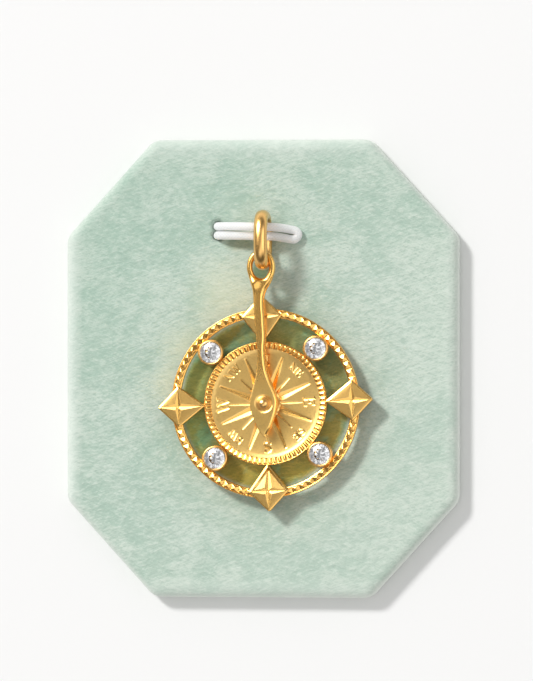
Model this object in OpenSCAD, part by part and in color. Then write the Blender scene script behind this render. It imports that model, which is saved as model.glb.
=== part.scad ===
// Compass pendant lying on a velvet display pad, held there by a loop of elastic cord.
// The dial turns on a ball-headed rivet under the needle, and the needle carries the
// eye that hangs from an oval jump ring.
// Millimetres, +Z up. The origin is the middle of the pad's underside, and +Y runs
// from the needle's tip towards the jump ring.

/* [Pad] */
// Width of the pad
pad_w = 46.4; // [42:0.2:60]
// Length of the pad
pad_l = 53.8; // [50:0.2:70]
// Thickness of the pad
pad_h = 3; // [2.6:0.1:5]
// Length of each cut corner along the width
pad_cut_w = 10.7; // [6:0.1:13]
// Length of each cut corner along the length
pad_cut_l = 11.8; // [6:0.1:14]
// Rounding of the corners seen from above
pad_corner_r = 2.2; // [1.6:0.1:3]
// Rounding of the upper edge
pad_edge_r = 1.3; // [0.6:0.1:1.5]

/* [Elastic cord] */
// Diameter of the cord
cord_d = 1; // [0.7:0.05:1]
// Room around the cord in each hole of the pad
cord_hole_gap = 0.15; // [0.1:0.05:0.25]
// Depth of the two holes
cord_hole_h = 1.8; // [1.6:0.1:2.2]

/* [Jump ring] */
// Diameter of the wire
wire_d = 1.36; // [1:0.02:1.5]
// Outside length of the oval ring
ring_l = 7.1; // [6.9:0.1:8]
// Room between the needle's top and the ring's upper strand
ring_room = 1; // [0.95:0.05:1.4]
// Gap between the wire and the end of the needle's eye
ring_slack = 0.3; // [0.15:0.05:0.5]
// Shift of the ring off the middle of the eye's hole
ring_off = 0.2; // [0:0.02:0.24]

/* [Place on the pad] */
// Rivet's place across the pad
pivot_x = 0.8; // [-3:0.05:3]
// Rivet's place along the pad
pivot_y = -4.05; // [-5:0.05:-3.5]
// Turn of the pendant, counterclockwise
pendant_turn = 2.3; // [-3:0.1:5]
// Gap between what lies on the pad and the velvet
lie_gap = 0.05; // [0.02:0.01:0.1]

/* [Dial disc] */
// Diameter of the disc
disc_d = 14.5; // [13.5:0.1:16]
// Height of the disc's engraved face above the back
disc_h = 0.65; // [0.55:0.05:0.8]
// Width of the milled rim
rim_w = 0.85; // [0.6:0.05:1]
// Height of the rim's ridges above the back
rim_h = 1; // [0.9:0.05:1.2]
// Width of the plain lip outside the rim's ridges
rim_lip = 0.14; // [0.08:0.01:0.2]
// Depth of the hollows between ridges
ridge_depth = 0.25; // [0.1:0.05:0.3]
// Ridges round the rim, and as many round the hoop
ridge_count = 72; // [60:12:84]
// Share of each ridge's pitch that is ridge
ridge_share = 0.78; // [0.5:0.01:0.85]
// Height of the fine line inside the rim
line_h = 0.08; // [0.04:0.01:0.12]
// Diameter of the hub round the rivet
hub_d = 3.8; // [3:0.1:4.4]
// Height of the hub above the back
hub_h = 0.9; // [0.85:0.05:1.1]

/* [Outer hoop] */
// Width of the hoop
hoop_w = 1; // [0.8:0.05:1.3]
// Height of the hoop's square beads above the back
hoop_h = 0.95; // [0.85:0.05:1.1]
// Share of each bead's pitch that is bead
bead_share = 0.84; // [0.6:0.01:0.88]
// Width of the plain lip on each side of the beads
hoop_lip = 0.16; // [0.08:0.01:0.25]

/* [Kite points] */
// Distance from a kite's middle out to its tip
kite_out = 2.5; // [2:0.05:2.8]
// Distance from a kite's middle to its side corners
kite_side = 2.3; // [2:0.05:2.6]
// Distance of a kite's middle outside the hoop's inner edge
kite_step = 0.15; // [0:0.05:0.3]
// How far a kite's inner tip reaches over the disc's rim
kite_bite = 0.2; // [0.1:0.05:0.4]
// Height of the kites above the back
kite_h = 1.3; // [1.15:0.05:1.4]
// Width of the sloping border
kite_bevel = 0.25; // [0.15:0.01:0.35]
// Drop from the border to the four panels
kite_drop = 0.07; // [0.03:0.01:0.12]
// Width of the engraved star's arms at its middle
star_w = 0.5; // [0.3:0.05:0.6]
// Depth of the engraved star at its middle
star_depth = 0.1; // [0.06:0.01:0.3]

/* [Stones and bezels] */
// Diameter of each round stone
stone_d = 2.54; // [2.2:0.02:2.8]
// Width of the stone's table as a share of its diameter
table_share = 0.57; // [0.5:0.01:0.65]
// Height of the stone's crown as a share of its diameter
crown_share = 0.13; // [0.1:0.01:0.15]
// Depth of the stone's pavilion as a share of its diameter
pavilion_share = 0.41; // [0.36:0.01:0.42]
// Gap between a stone and its bezel
stone_gap = 0.03; // [0.02:0.01:0.05]
// Wall of the bezel
bezel_wall = 0.22; // [0.18:0.01:0.35]
// How far a bezel runs into the rim and into the hoop
bezel_bite = 0.1; // [0.08:0.01:0.2]
// Distance of the stones outside the middle between rim and hoop
stone_shift = 0.06; // [0:0.01:0.06]

/* [Engraving] */
// Width of the eight wedge rays at the hub
ray_w = 0.8; // [0.5:0.05:0.9]
// Width of the rays at their outer end
ray_end_w = 0.3; // [0.2:0.05:0.4]
// Depth of the rays at the hub
ray_depth = 0.14; // [0.1:0.01:0.26]
// Width of the fine ticks and lines
tick_w = 0.26; // [0.15:0.01:0.3]
// Height of the four large letters
letter_l = 1.5; // [1.2:0.05:1.6]
// Height of the letters in the four pairs
pair_l = 0.95; // [0.8:0.05:1]
// Width of the letters' strokes
stroke_w = 0.21; // [0.16:0.01:0.26]
// Depth of the letters
letter_depth = 0.09; // [0.06:0.01:0.2]

/* [Needle] */
// Width of the needle at the rivet
needle_w = 3.25; // [2.8:0.05:3.5]
// Thickness of the needle
needle_h = 0.9; // [0.7:0.05:1.1]
// Length from the rivet to the tip
needle_tail = 4; // [3.5:0.1:5]
// Distance of the eye's middle outside the kite's tip
eye_past = 3.15; // [3.1:0.05:3.6]
// Outside width of the eye
eye_w = 3.34; // [3.2:0.02:3.6]
// Width of the eye's hole
eye_hole_w = 2; // [1.9:0.02:2.1]
// Length of the eye's hole
eye_hole_l = 2.6; // [2.5:0.05:2.8]
// Shift of the eye off the needle's axis
eye_shift = 0.28; // [0:0.02:0.3]
// Gap between the needle and the tallest part of the dial
needle_gap = 0.16; // [0.1:0.01:0.3]

/* [Rivet] */
// Diameter of the rivet's shaft
rivet_d = 1.2; // [1:0.05:1.3]
// Radial gap between the shaft and what it passes through
rivet_fit = 0.05; // [0.03:0.01:0.06]
// Diameter of the ball head
ball_d = 1.46; // [1.4:0.02:1.6]
// Diameter of the flange under the ball head
flange_d = 1.84; // [1.7:0.02:2]
// Thickness of the flange
flange_h = 0.16; // [0.1:0.01:0.2]
// Diameter of the collar that carries the needle
collar_d = 2; // [1.7:0.05:2.2]
// Diameter of the head at the back
tail_d = 2.2; // [1.8:0.05:2.4]
// How deep the head at the back sits in the dial
tail_h = 0.26; // [0.2:0.01:0.3]
// How far the head at the back holds the dial off the pad
foot_h = 1.25; // [0.8:0.05:1.5]
// Diameter of the foot that rests on the pad
foot_d = 3; // [2.4:0.1:4]
// Running gap along the rivet
rivet_play = 0.04; // [0.03:0.01:0.06]

/* [Hidden] */
$fn = 72;

// Dial: radii from the disc outwards
disc_r = disc_d / 2;
rim_in_r = disc_r - rim_w;
bezel_r = stone_d / 2 + stone_gap + bezel_wall;
hoop_in_r = disc_r + 2 * bezel_r - 2 * bezel_bite;
hoop_r = hoop_in_r + hoop_w;
setting_r = (disc_r + hoop_in_r) / 2 + stone_shift;
kite_r = hoop_in_r + kite_step;
kite_in = kite_r - disc_r + kite_bite;

// Dial: heights above its back
seat_h = stone_d * pavilion_share + 0.06;
girdle_h = 0.06;
bezel_h = seat_h + girdle_h + 0.14;
stone_top = seat_h + girdle_h + stone_d * crown_share;
dial_top = max(kite_h, bezel_h, stone_top, rim_h, hoop_h, hub_h);

// Engraving: where it starts and ends, as radii
ray_from = hub_d / 2 + 0.1;
ray_to = disc_r * 0.77;
tick_to = disc_r * 0.58;
letter_mid = disc_r * 0.715;
pair_mid = disc_r * 0.74;

// Heights of the pendant's layers
rest_z = pad_h + lie_gap;
dial_z = rest_z + foot_h;
needle_z = dial_z + dial_top + needle_gap;
needle_top = needle_z + needle_h;
ring_h = needle_top + ring_room + wire_d - rest_z;

// Needle: distances from the rivet along its axis
eye_mid = kite_r + kite_out + eye_past;
eye_end = eye_mid + eye_hole_l / 2;

// Needle: half-widths at stations along the tail, as shares of its length and of needle_w / 2
// [station, half-width]
TAIL = [[-1, 0.03], [-0.79, 0.39], [-0.51, 0.7], [-0.2, 0.93], [0, 1]];

// Needle: half-widths from the rivet up to the eye, as shares of eye_mid and of needle_w / 2,
// and the outline's shift as a share of eye_shift
// [station, half-width, shift]
STEM = [
    [0.09, 0.8, 0], [0.165, 0.57, 0], [0.24, 0.39, -0.05], [0.32, 0.315, -0.1],
    [0.43, 0.315, -0.1], [0.54, 0.345, -0.2], [0.65, 0.38, -0.3], [0.76, 0.4, -0.4],
    [0.8, 0.43, -0.2], [0.84, 0.52, 0.15]
];

// Needle: the eye's outside, as shares of the way from its middle to its top and of eye_w / 2
// [station, half-width]
EYE = [[-0.9, 0.75], [-0.45, 0.92], [0, 1], [0.35, 0.95], [0.65, 0.77], [0.9, 0.43], [0.99, 0.14]];

// Elastic cord: middle line as [x, y, height above the pad], from one hole round to the other
ROUTE = [
    [-5.1, 16.7, -1.5], [-5.1, 16.7, -0.5], [-5.1, 16.7, 0], [-5, 16.7, 0.35], [-4.65, 16.7, 0.7],
    [-4.1, 16.7, 1.05], [-3.2, 16.69, 1.5], [-2.2, 16.66, 2.05], [-1.2, 16.62, 2.48],
    [-0.4, 16.6, 2.7], [0.45, 16.58, 2.78], [1.2, 16.57, 2.58], [1.9, 16.54, 2.1],
    [2.6, 16.47, 1.5], [3.15, 16.38, 1], [3.6, 16.29, 0.68], [4, 16.21, 0.56],
    [4.3, 16.04, 0.53], [4.46, 15.72, 0.53], [4.33, 15.38, 0.53], [4, 15.15, 0.54],
    [3.6, 15.16, 0.6], [3.1, 15.26, 0.8], [2.5, 15.37, 1.15], [1.8, 15.48, 1.55],
    [1.1, 15.5, 1.85], [0.35, 15.5, 1.96], [-0.4, 15.51, 1.93], [-1.2, 15.56, 1.8],
    [-2.2, 15.58, 1.55], [-3.2, 15.6, 1.25], [-4.1, 15.62, 0.95], [-4.65, 15.64, 0.7],
    [-5, 15.64, 0.35], [-5.1, 15.64, 0], [-5.1, 15.64, -0.5], [-5.1, 15.64, -1.5]
];
CORD_SIDES = 8;

// Letters: strokes as [x, y, x, y], shares of the letter's height, with the left foot at 0, 0
GLYPH_N = [[0, 0, 0, 1], [0, 1, 0.8, 0], [0.8, 0, 0.8, 1], [-0.12, 0, 0.12, 0], [0.68, 1, 0.92, 1]];
GLYPH_E = [
    [0, 0, 0, 1], [0, 0, 0.72, 0], [0, 0.52, 0.5, 0.52], [0, 1, 0.66, 1],
    [0.72, 0, 0.72, 0.2], [0.5, 0.42, 0.5, 0.62], [0.66, 0.82, 0.66, 1]
];
GLYPH_W = [[0, 1, 0.28, 0], [0.28, 0, 0.56, 0.86], [0.56, 0.86, 0.84, 0], [0.84, 0, 1.12, 1]];
GLYPH_S = [
    [0.58, 0.82, 0.44, 0.98], [0.44, 0.98, 0.2, 0.98], [0.2, 0.98, 0.06, 0.8],
    [0.06, 0.8, 0.14, 0.6], [0.14, 0.6, 0.48, 0.42], [0.48, 0.42, 0.58, 0.22],
    [0.58, 0.22, 0.44, 0.02], [0.44, 0.02, 0.18, 0.02], [0.18, 0.02, 0.03, 0.2]
];
// Widths of the letters as shares of their height
WIDE_N = 0.8;
WIDE_E = 0.7;
WIDE_W = 1.12;
WIDE_S = 0.6;
// Space between the two letters of a pair, as a share of their height
PAIR_SPACE = 0.32;

METAL = "goldenrod";

// Unit vector along v
function unit(v) = v / norm(v);

// Corner i of a closed outline moved inwards by d on both of its sides
function inner_corner(outline, i, d) =
    let (
        count = len(outline),
        back = unit(outline[(i + count - 1) % count] - outline[i]),
        ahead = unit(outline[(i + 1) % count] - outline[i])
    )
    outline[i] + unit(back + ahead) * d / sin(acos(back * ahead) / 2);

// Closed counterclockwise outline drawn inwards by d
function inset(outline, d) = [for (i = [0:len(outline) - 1]) inner_corner(outline, i, d)];

// The same outline with its corners turned into arcs of radius r, in steps
function rounded(outline, r, steps = 5) = [
    for (i = [0:len(outline) - 1])
        let (
            count = len(outline),
            back = unit(outline[(i + count - 1) % count] - outline[i]),
            ahead = unit(outline[(i + 1) % count] - outline[i]),
            half = acos(back * ahead) / 2,
            middle = inner_corner(outline, i, r),
            from = outline[i] + back * r / tan(half) - middle,
            start = atan2(from[1], from[0])
        )
        for (k = [0:steps])
            let (a = start + (180 - 2 * half) * k / steps)
            middle + r * [cos(a), sin(a)]
];

// Outline lifted to height z
function lifted(outline, z) = [for (p = outline) [p[0], p[1], z]];

// Point of the smooth curve through b and c at share t, with a and d as neighbours
function smooth_point(a, b, c, d, t) =
    0.5 * (2 * b + (c - a) * t + (2 * a - 5 * b + 4 * c - d) * t * t
        + (3 * b - a - 3 * c + d) * t * t * t);

// Smooth curve through a list of points, in steps for each stretch
function smooth(points, steps) = [
    for (i = [0:len(points) - 2])
        for (k = [0:steps - 1])
            smooth_point(
                points[max(i - 1, 0)], points[i], points[i + 1],
                points[min(i + 2, len(points) - 1)], k / steps),
    points[len(points) - 1]
];

// Circle as a list of points
function circle_points(r, count, turn = 0) = [
    for (i = [0:count - 1]) r * [cos(turn + 360 * i / count), sin(turn + 360 * i / count)]
];

// Circle with teeth: radius tooth over a share of each pitch, radius valley over the rest
function toothed_points(tooth, valley, count, share) = [
    for (i = [0:count - 1])
        for (corner = [[-share, valley], [-share, tooth], [share, tooth], [share, valley]])
            let (a = 360 * (i + corner[0] / 2) / count)
            corner[1] * [cos(a), sin(a)]
];

// Closed solid through rings of equal length, from the lowest ring to the highest
module loft(rings) {
    count = len(rings[0]);
    top = (len(rings) - 1) * count;
    points = [for (ring = rings) for (p = ring) p];
    walls = [
        for (j = [0:len(rings) - 2])
            for (i = [0:count - 1])
                let (a = j * count + i, b = j * count + (i + 1) % count)
                [a, a + count, b + count, b]
    ];
    base = [for (i = [0:count - 1]) i];
    lid = [for (i = [count - 1:-1:0]) top + i];
    polyhedron(points, concat(walls, [base, lid]));
}

// Flat ring between two radii, from height z0 to z1
module band(r_in, r_out, z0, z1) {
    translate([0, 0, z0])
        difference() {
            cylinder(r = r_out, h = z1 - z0);
            translate([0, 0, -1])
                cylinder(r = r_in, h = z1 - z0 + 2);
        }
}

// Outline of the pad: a rectangle with its corners cut
function pad_outline(d) =
    let (x = pad_w / 2, y = pad_l / 2, u = x - pad_cut_w, v = y - pad_cut_l)
    rounded(
        inset([[x, -v], [x, v], [u, y], [-u, y], [-x, v], [-x, -v], [-u, -y], [u, -y]], d),
        pad_corner_r - d);

module display_pad() {
    edge_z = pad_h - pad_edge_r;
    tuck = pad_edge_r / 4;
    color("#b9d2c4")
        difference() {
            union() {
                linear_extrude(tuck + 0.1)
                    polygon(pad_outline(tuck));
                loft([
                    lifted(pad_outline(tuck), tuck / 2),
                    lifted(pad_outline(0), tuck * 2),
                    lifted(pad_outline(0), edge_z),
                    for (a = [22.5:22.5:90])
                        lifted(pad_outline(pad_edge_r * (1 - cos(a))), edge_z + pad_edge_r * sin(a))
                ]);
            }
            for (end = [ROUTE[0], ROUTE[len(ROUTE) - 1]])
                translate([end[0], end[1], pad_h - cord_hole_h])
                    cylinder(d = cord_d + 2 * cord_hole_gap, h = cord_hole_h + 1);
        }
}

module elastic_loop() {
    line = [for (p = ROUTE) [p[0], p[1], p[2] + pad_h]];
    last = len(line) - 1;
    color("white")
        loft([
            for (i = [0:last])
                let (
                    way = unit(line[min(i + 1, last)] - line[max(i - 1, 0)]),
                    out = unit(cross([0, way[2] < 0 ? 1 : -1, 0.001], way)),
                    up = cross(way, out)
                )
                [for (a = [0:360 / CORD_SIDES:359])
                    line[i] + cord_d / 2 * (out * cos(a) + up * sin(a))]
        ]);
}

module bail_ring() {
    bend_r = (ring_h - wire_d) / 2;
    straight = ring_l - ring_h;
    eye_y = pivot_y + eye_end * cos(pendant_turn) + eye_shift * sin(pendant_turn);
    eye_x = pivot_x - eye_mid * sin(pendant_turn) + eye_shift * cos(pendant_turn);
    color(METAL)
        translate([eye_x + ring_off, eye_y - ring_slack - wire_d + ring_l / 2, rest_z + ring_h / 2])
            rotate([90, 0, 90])
                for (side = [0, 180])
                    rotate(side) {
                        translate([straight / 2, 0])
                            rotate(-90)
                                rotate_extrude(angle = 180)
                                    translate([bend_r, 0])
                                        circle(d = wire_d);
                        translate([-straight / 2, bend_r, 0])
                            rotate([0, 90, 0])
                                cylinder(d = wire_d, h = straight);
                    }
}

// Right or left edge of the needle from the tip to the eye's top, side 1 or -1
function needle_edge(side) =
    let (
        half = needle_w / 2,
        eye_half = eye_hole_l / 2 + (eye_w - eye_hole_w) / 2,
        tail = [for (s = TAIL) [side * s[1] * half, s[0] * needle_tail]],
        stem = [for (s = STEM) [side * s[1] * half + s[2] * eye_shift, s[0] * eye_mid]],
        eye = [for (s = EYE) [side * s[1] * eye_w / 2 + eye_shift, eye_mid + s[0] * eye_half]]
    )
    smooth(concat(tail, stem, eye), 3);

module needle() {
    right = needle_edge(1);
    left = needle_edge(-1);
    count = len(left);
    color(METAL)
        translate([pivot_x, pivot_y, needle_z])
            rotate(pendant_turn)
                difference() {
                    linear_extrude(needle_h)
                        polygon(concat(right, [for (i = [count - 1:-1:0]) left[i]]));
                    translate([eye_shift, eye_mid, -1])
                        linear_extrude(needle_h + 2)
                            polygon([for (p = circle_points(1, 40))
                                [p[0] * eye_hole_w / 2, p[1] * eye_hole_l / 2]]);
                    translate([0, 0, -1])
                        cylinder(d = rivet_d + 2 * rivet_fit, h = needle_h + 2);
                    translate([0, 0, needle_h - flange_h])
                        cylinder(d = flange_d + 2 * rivet_fit, h = 1);
                }
}

// The rivet's parts stand on each other: foot with the back head, shaft, collar, flange and ball
module rivet() {
    tail_z = dial_z + rivet_play;
    foot_top = foot_h / 2;
    tail_top = foot_h + rivet_play + tail_h;
    collar_z = dial_z + hub_h + rivet_play;
    flange_z = needle_top - flange_h + rivet_play;
    color(METAL)
        translate([pivot_x, pivot_y, 0]) {
            translate([0, 0, rest_z])
                rotate_extrude()
                    polygon([
                        [0, 0], [foot_d / 2 - 0.15, 0], [foot_d / 2, foot_top / 3],
                        [tail_d / 2, foot_top], [tail_d / 2, tail_top], [0, tail_top]
                    ]);
            translate([0, 0, tail_z])
                cylinder(d = rivet_d, h = needle_top - tail_z + flange_h);
            translate([0, 0, collar_z])
                cylinder(d = collar_d, h = needle_z - rivet_play - collar_z);
            translate([0, 0, flange_z])
                cylinder(d = flange_d, h = flange_h);
            translate([0, 0, flange_z + flange_h])
                intersection() {
                    sphere(d = ball_d);
                    cylinder(d = ball_d + 1, h = ball_d);
                }
        }
}

// Disc with its hub, its rim of ridges inside a lip, and the fine line inside the rim
module disc() {
    cylinder(r = rim_in_r + 0.1, h = disc_h);
    cylinder(d = hub_d, h = hub_h - 0.1);
    cylinder(d = hub_d - 0.4, h = hub_h);
    band(rim_in_r, disc_r - 0.06, 0, rim_h - ridge_depth);
    band(rim_in_r - 0.22, rim_in_r - 0.1, disc_h - 0.1, disc_h + line_h);
    rotate(180 / ridge_count)
        linear_extrude(rim_h)
            difference() {
                polygon(toothed_points(disc_r - rim_lip / 2, rim_in_r + 0.1, ridge_count, ridge_share));
                circle(r = rim_in_r - 0.02);
            }
    band(disc_r - rim_lip, disc_r, 0, rim_h - 0.1);
}

// Hoop of square beads between two lips
module hoop() {
    band(hoop_in_r, hoop_r - 0.02, 0, hoop_h - ridge_depth);
    band(hoop_r - hoop_lip, hoop_r, 0, hoop_h - 0.14);
    band(hoop_in_r - 0.02, hoop_in_r + hoop_lip, 0, hoop_h - 0.18);
    rotate(180 / ridge_count)
        linear_extrude(hoop_h)
            difference() {
                polygon(toothed_points(hoop_r - hoop_lip / 2, hoop_r - 0.3, ridge_count, bead_share));
                polygon(toothed_points(hoop_in_r + hoop_lip / 2, hoop_in_r + 0.3, ridge_count, bead_share));
            }
}

// Tool for a V groove along +Y that narrows from w to w_end, and is deepest at its start
module wedge_cut(l, w, w_end, depth) {
    over = 0.2;
    wide = w / 2 * (1 + over / depth);
    end_depth = depth * w_end / w;
    end_wide = w_end / 2 * (1 + over / end_depth);
    polyhedron(
        [
            [-wide, 0, over], [wide, 0, over], [0, 0, -depth],
            [-end_wide, l, over], [end_wide, l, over], [0, l, -end_depth]
        ],
        [[0, 1, 2], [5, 4, 3], [0, 3, 4, 1], [1, 4, 5, 2], [2, 5, 3, 0]]);
}

// Kite point with a sloping border, four panels and an engraved four-pointed star
module kite() {
    outline = [[kite_side, 0], [0, kite_out], [-kite_side, 0], [0, -kite_in]];
    step = kite_bevel + kite_drop * 1.2;
    face = kite_h - kite_drop;
    translate([0, kite_r, 0])
        difference() {
            loft([
                lifted(rounded(outline, 0.34), 0),
                lifted(rounded(outline, 0.34), kite_h - kite_bevel),
                lifted(rounded(inset(outline, kite_bevel), 0.2), kite_h),
                lifted(rounded(inset(outline, step), 0.16), face)
            ]);
            for (arm = [[0, kite_out], [90, kite_side], [180, kite_in], [270, kite_side]])
                translate([0, 0, face])
                    rotate(arm[0])
                        wedge_cut(arm[1] - step * 1.8, star_w, star_w * 0.12, star_depth);
        }
}

// Tube that holds a stone
module bezel() {
    translate([0, setting_r, 0])
        cylinder(r = bezel_r, h = bezel_h);
}

// Room for a stone: a cone for its pavilion, a bore for its girdle and a mouth for its crown
module seat_cut() {
    hold = stone_d / 2 + stone_gap;
    translate([0, setting_r, 0]) {
        translate([0, 0, -0.2])
            cylinder(r1 = 0.1, r2 = hold, h = seat_h + 0.1);
        translate([0, 0, seat_h - 0.1])
            cylinder(r = hold, h = bezel_h);
    }
}

// Bar along a stroke that cuts a groove, and runs a little past both of its ends
module stroke_cut(x0, y0, x1, y1, w) {
    reach = norm([x1 - x0, y1 - y0]) + w * 0.6;
    translate([(x0 + x1) / 2, (y0 + y1) / 2, 0])
        rotate(atan2(y1 - y0, x1 - x0))
            cube([reach, w, letter_depth * 2], center = true);
}

// Strokes of one letter of height l, with its left foot at x
module letter_cut(strokes, l, x) {
    for (s = strokes)
        stroke_cut(x + s[0] * l, (s[1] - 0.5) * l, x + s[2] * l, (s[3] - 0.5) * l, stroke_w * sqrt(l / letter_l));
}

// Two letters side by side, centred
module pair_cut(first, first_wide, second, second_wide) {
    wide = first_wide + PAIR_SPACE + second_wide;
    letter_cut(first, pair_l, -wide / 2 * pair_l);
    letter_cut(second, pair_l, (-wide / 2 + first_wide + PAIR_SPACE) * pair_l);
}

// Compass rose and letters, cut into the disc's face
module engraving() {
    for (a = [22.5:45:337.5])
        rotate(a)
            translate([0, ray_from, 0])
                wedge_cut(ray_to - ray_from, ray_w, ray_end_w, ray_depth);
    for (a = [0:45:315])
        rotate(a)
            translate([0, ray_from, 0])
                wedge_cut(tick_to - ray_from, tick_w, tick_w * 0.7, tick_w / 2);
    translate([0, letter_mid, 0])
        letter_cut(GLYPH_N, letter_l, -WIDE_N / 2 * letter_l);
    rotate(-90)
        translate([0, letter_mid, 0])
            letter_cut(GLYPH_E, letter_l, -WIDE_E / 2 * letter_l);
    rotate(180)
        translate([0, letter_mid, 0])
            letter_cut(GLYPH_S, letter_l, -WIDE_S / 2 * letter_l);
    rotate(90)
        translate([0, letter_mid, 0])
            letter_cut(GLYPH_W, letter_l, -WIDE_W / 2 * letter_l);
    rotate(-45)
        translate([0, pair_mid, 0])
            pair_cut(GLYPH_N, WIDE_N, GLYPH_E, WIDE_E);
    rotate(-135)
        translate([0, pair_mid, 0])
            pair_cut(GLYPH_S, WIDE_S, GLYPH_E, WIDE_E);
    rotate(135)
        translate([0, pair_mid, 0])
            pair_cut(GLYPH_S, WIDE_S, GLYPH_W, WIDE_W);
    rotate(45)
        translate([0, pair_mid, 0])
            pair_cut(GLYPH_N, WIDE_N, GLYPH_W, WIDE_W);
}

// One casting: disc, rim, hoop, kite points and bezels
module compass_dial() {
    color(METAL)
        translate([pivot_x, pivot_y, dial_z])
            rotate(pendant_turn)
                difference() {
                    union() {
                        disc();
                        hoop();
                        for (a = [0:90:270])
                            rotate(a)
                                kite();
                        for (a = [45:90:315])
                            rotate(a)
                                bezel();
                    }
                    for (a = [45:90:315])
                        rotate(a)
                            seat_cut();
                    translate([0, 0, disc_h])
                        engraving();
                    translate([0, 0, -1])
                        cylinder(d = rivet_d + 2 * rivet_fit, h = hub_h + 2);
                    translate([0, 0, -1])
                        cylinder(d = tail_d + 2 * rivet_fit, h = 1 + tail_h + 2 * rivet_play);
                }
}

// Round brilliant: a table, 8 star, 8 kite and 16 upper facets over a girdle,
// and 16 lower and 8 main facets under it
module stone(azimuth) {
    r = stone_d / 2;
    table_r = r * table_share;
    star_r = r * 0.8;
    low_r = r * 0.3;
    low_z = -stone_d * pavilion_share;
    crown_slope = stone_d * crown_share / (r - table_r);
    star_z = girdle_h + stone_d * crown_share - (star_r * cos(22.5) - table_r) * crown_slope;
    side_z = low_z * (1 - low_r * cos(22.5) / r);
    points = concat(
        lifted(circle_points(table_r, 8, 22.5), girdle_h + stone_d * crown_share),
        lifted(circle_points(star_r, 8), star_z),
        lifted(circle_points(r, 16), girdle_h),
        lifted(circle_points(r, 16), 0),
        lifted(circle_points(low_r, 8), side_z),
        [[0, 0, low_z]]
    );
    // First number of each ring in the list of points
    star = 8;
    upper = 16;
    lower = 32;
    side = 48;
    culet = 56;
    faces = concat(
        [[for (i = [7:-1:0]) i]],
        [for (i = [0:7]) [i, (i + 1) % 8, star + (i + 1) % 8]],
        [for (i = [0:7]) [star + i, i, star + (i + 1) % 8, upper + 2 * i + 1]],
        [for (i = [0:7]) [star + i, upper + 2 * i + 1, upper + 2 * i]],
        [for (i = [0:7]) [star + i, upper + 2 * i, upper + (2 * i + 15) % 16]],
        [for (i = [0:15]) [upper + i, upper + (i + 1) % 16, lower + (i + 1) % 16, lower + i]],
        [for (i = [0:7]) [side + i, lower + 2 * i, lower + 2 * i + 1]],
        [for (i = [0:7]) [side + i, lower + (2 * i + 15) % 16, lower + 2 * i]],
        [for (i = [0:7]) [culet, side + i, lower + 2 * i + 1, side + (i + 1) % 8]]
    );
    color("#e9edf2")
        translate([pivot_x, pivot_y, dial_z])
            rotate(pendant_turn - azimuth)
                translate([0, setting_r, seat_h])
                    polyhedron(points, faces);
}

module stone_ne() { stone(45); }
module stone_se() { stone(135); }
module stone_sw() { stone(225); }
module stone_nw() { stone(315); }

display_pad();
elastic_loop();
bail_ring();
needle();
rivet();
compass_dial();
stone_ne();
stone_se();
stone_sw();
stone_nw();
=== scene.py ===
import math
import bpy
import numpy as np
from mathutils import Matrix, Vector


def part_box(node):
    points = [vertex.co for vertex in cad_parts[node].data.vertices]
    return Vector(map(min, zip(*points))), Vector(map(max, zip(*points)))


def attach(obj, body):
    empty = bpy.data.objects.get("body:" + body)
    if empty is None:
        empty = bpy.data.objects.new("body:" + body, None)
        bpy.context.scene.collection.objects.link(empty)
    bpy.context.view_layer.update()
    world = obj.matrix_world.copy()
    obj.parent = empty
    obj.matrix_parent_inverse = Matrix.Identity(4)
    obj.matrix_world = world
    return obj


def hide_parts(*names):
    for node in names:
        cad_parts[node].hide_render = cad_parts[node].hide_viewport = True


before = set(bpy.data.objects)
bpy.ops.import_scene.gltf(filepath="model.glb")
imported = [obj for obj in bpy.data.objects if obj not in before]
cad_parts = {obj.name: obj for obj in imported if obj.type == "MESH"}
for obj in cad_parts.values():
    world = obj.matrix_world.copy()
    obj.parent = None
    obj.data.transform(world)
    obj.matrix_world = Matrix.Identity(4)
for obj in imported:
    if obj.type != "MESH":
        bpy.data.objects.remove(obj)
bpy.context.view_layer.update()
scene = bpy.context.scene
mm = 0.001

# Places of the pendant, in millimetres
place = {
    "pivot": (0.8, -4.05),
    "turn": 2.3,
    "padTop": 3.0,
    "rest": 3.05,
    "dialBack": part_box("compass_dial")[0].z / mm,
    "needleUnder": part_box("needle")[0].z / mm,
    "needleTop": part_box("needle")[1].z / mm,
}


# Camera
shot = {
    "aim": (0.4585, 3.3, 1.5),
    "lean": 7.5,
    "distance": 600.0,
    "tall": 80.12,
    "film": 36.0,
    "clip": (0.01, 5.0),
}


def addObject(name, data):
    made = bpy.data.objects.new(name, data)
    scene.collection.objects.link(made)
    return made


def addCamera():
    lens = bpy.data.cameras.new("shotCamera")
    lens.sensor_width = shot["film"]
    lens.lens = shot["film"] * shot["distance"] / shot["tall"]
    lens.clip_start, lens.clip_end = shot["clip"]
    camera = addObject("shotCamera", lens)
    lean = math.radians(shot["lean"])
    way = np.array([math.sin(lean), 0, math.cos(lean)])
    camera.location = (np.array(shot["aim"]) + shot["distance"] * way) * mm
    camera.rotation_euler = (0, lean, 0)
    scene.camera = camera


addCamera()
print("camera ready")


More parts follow.
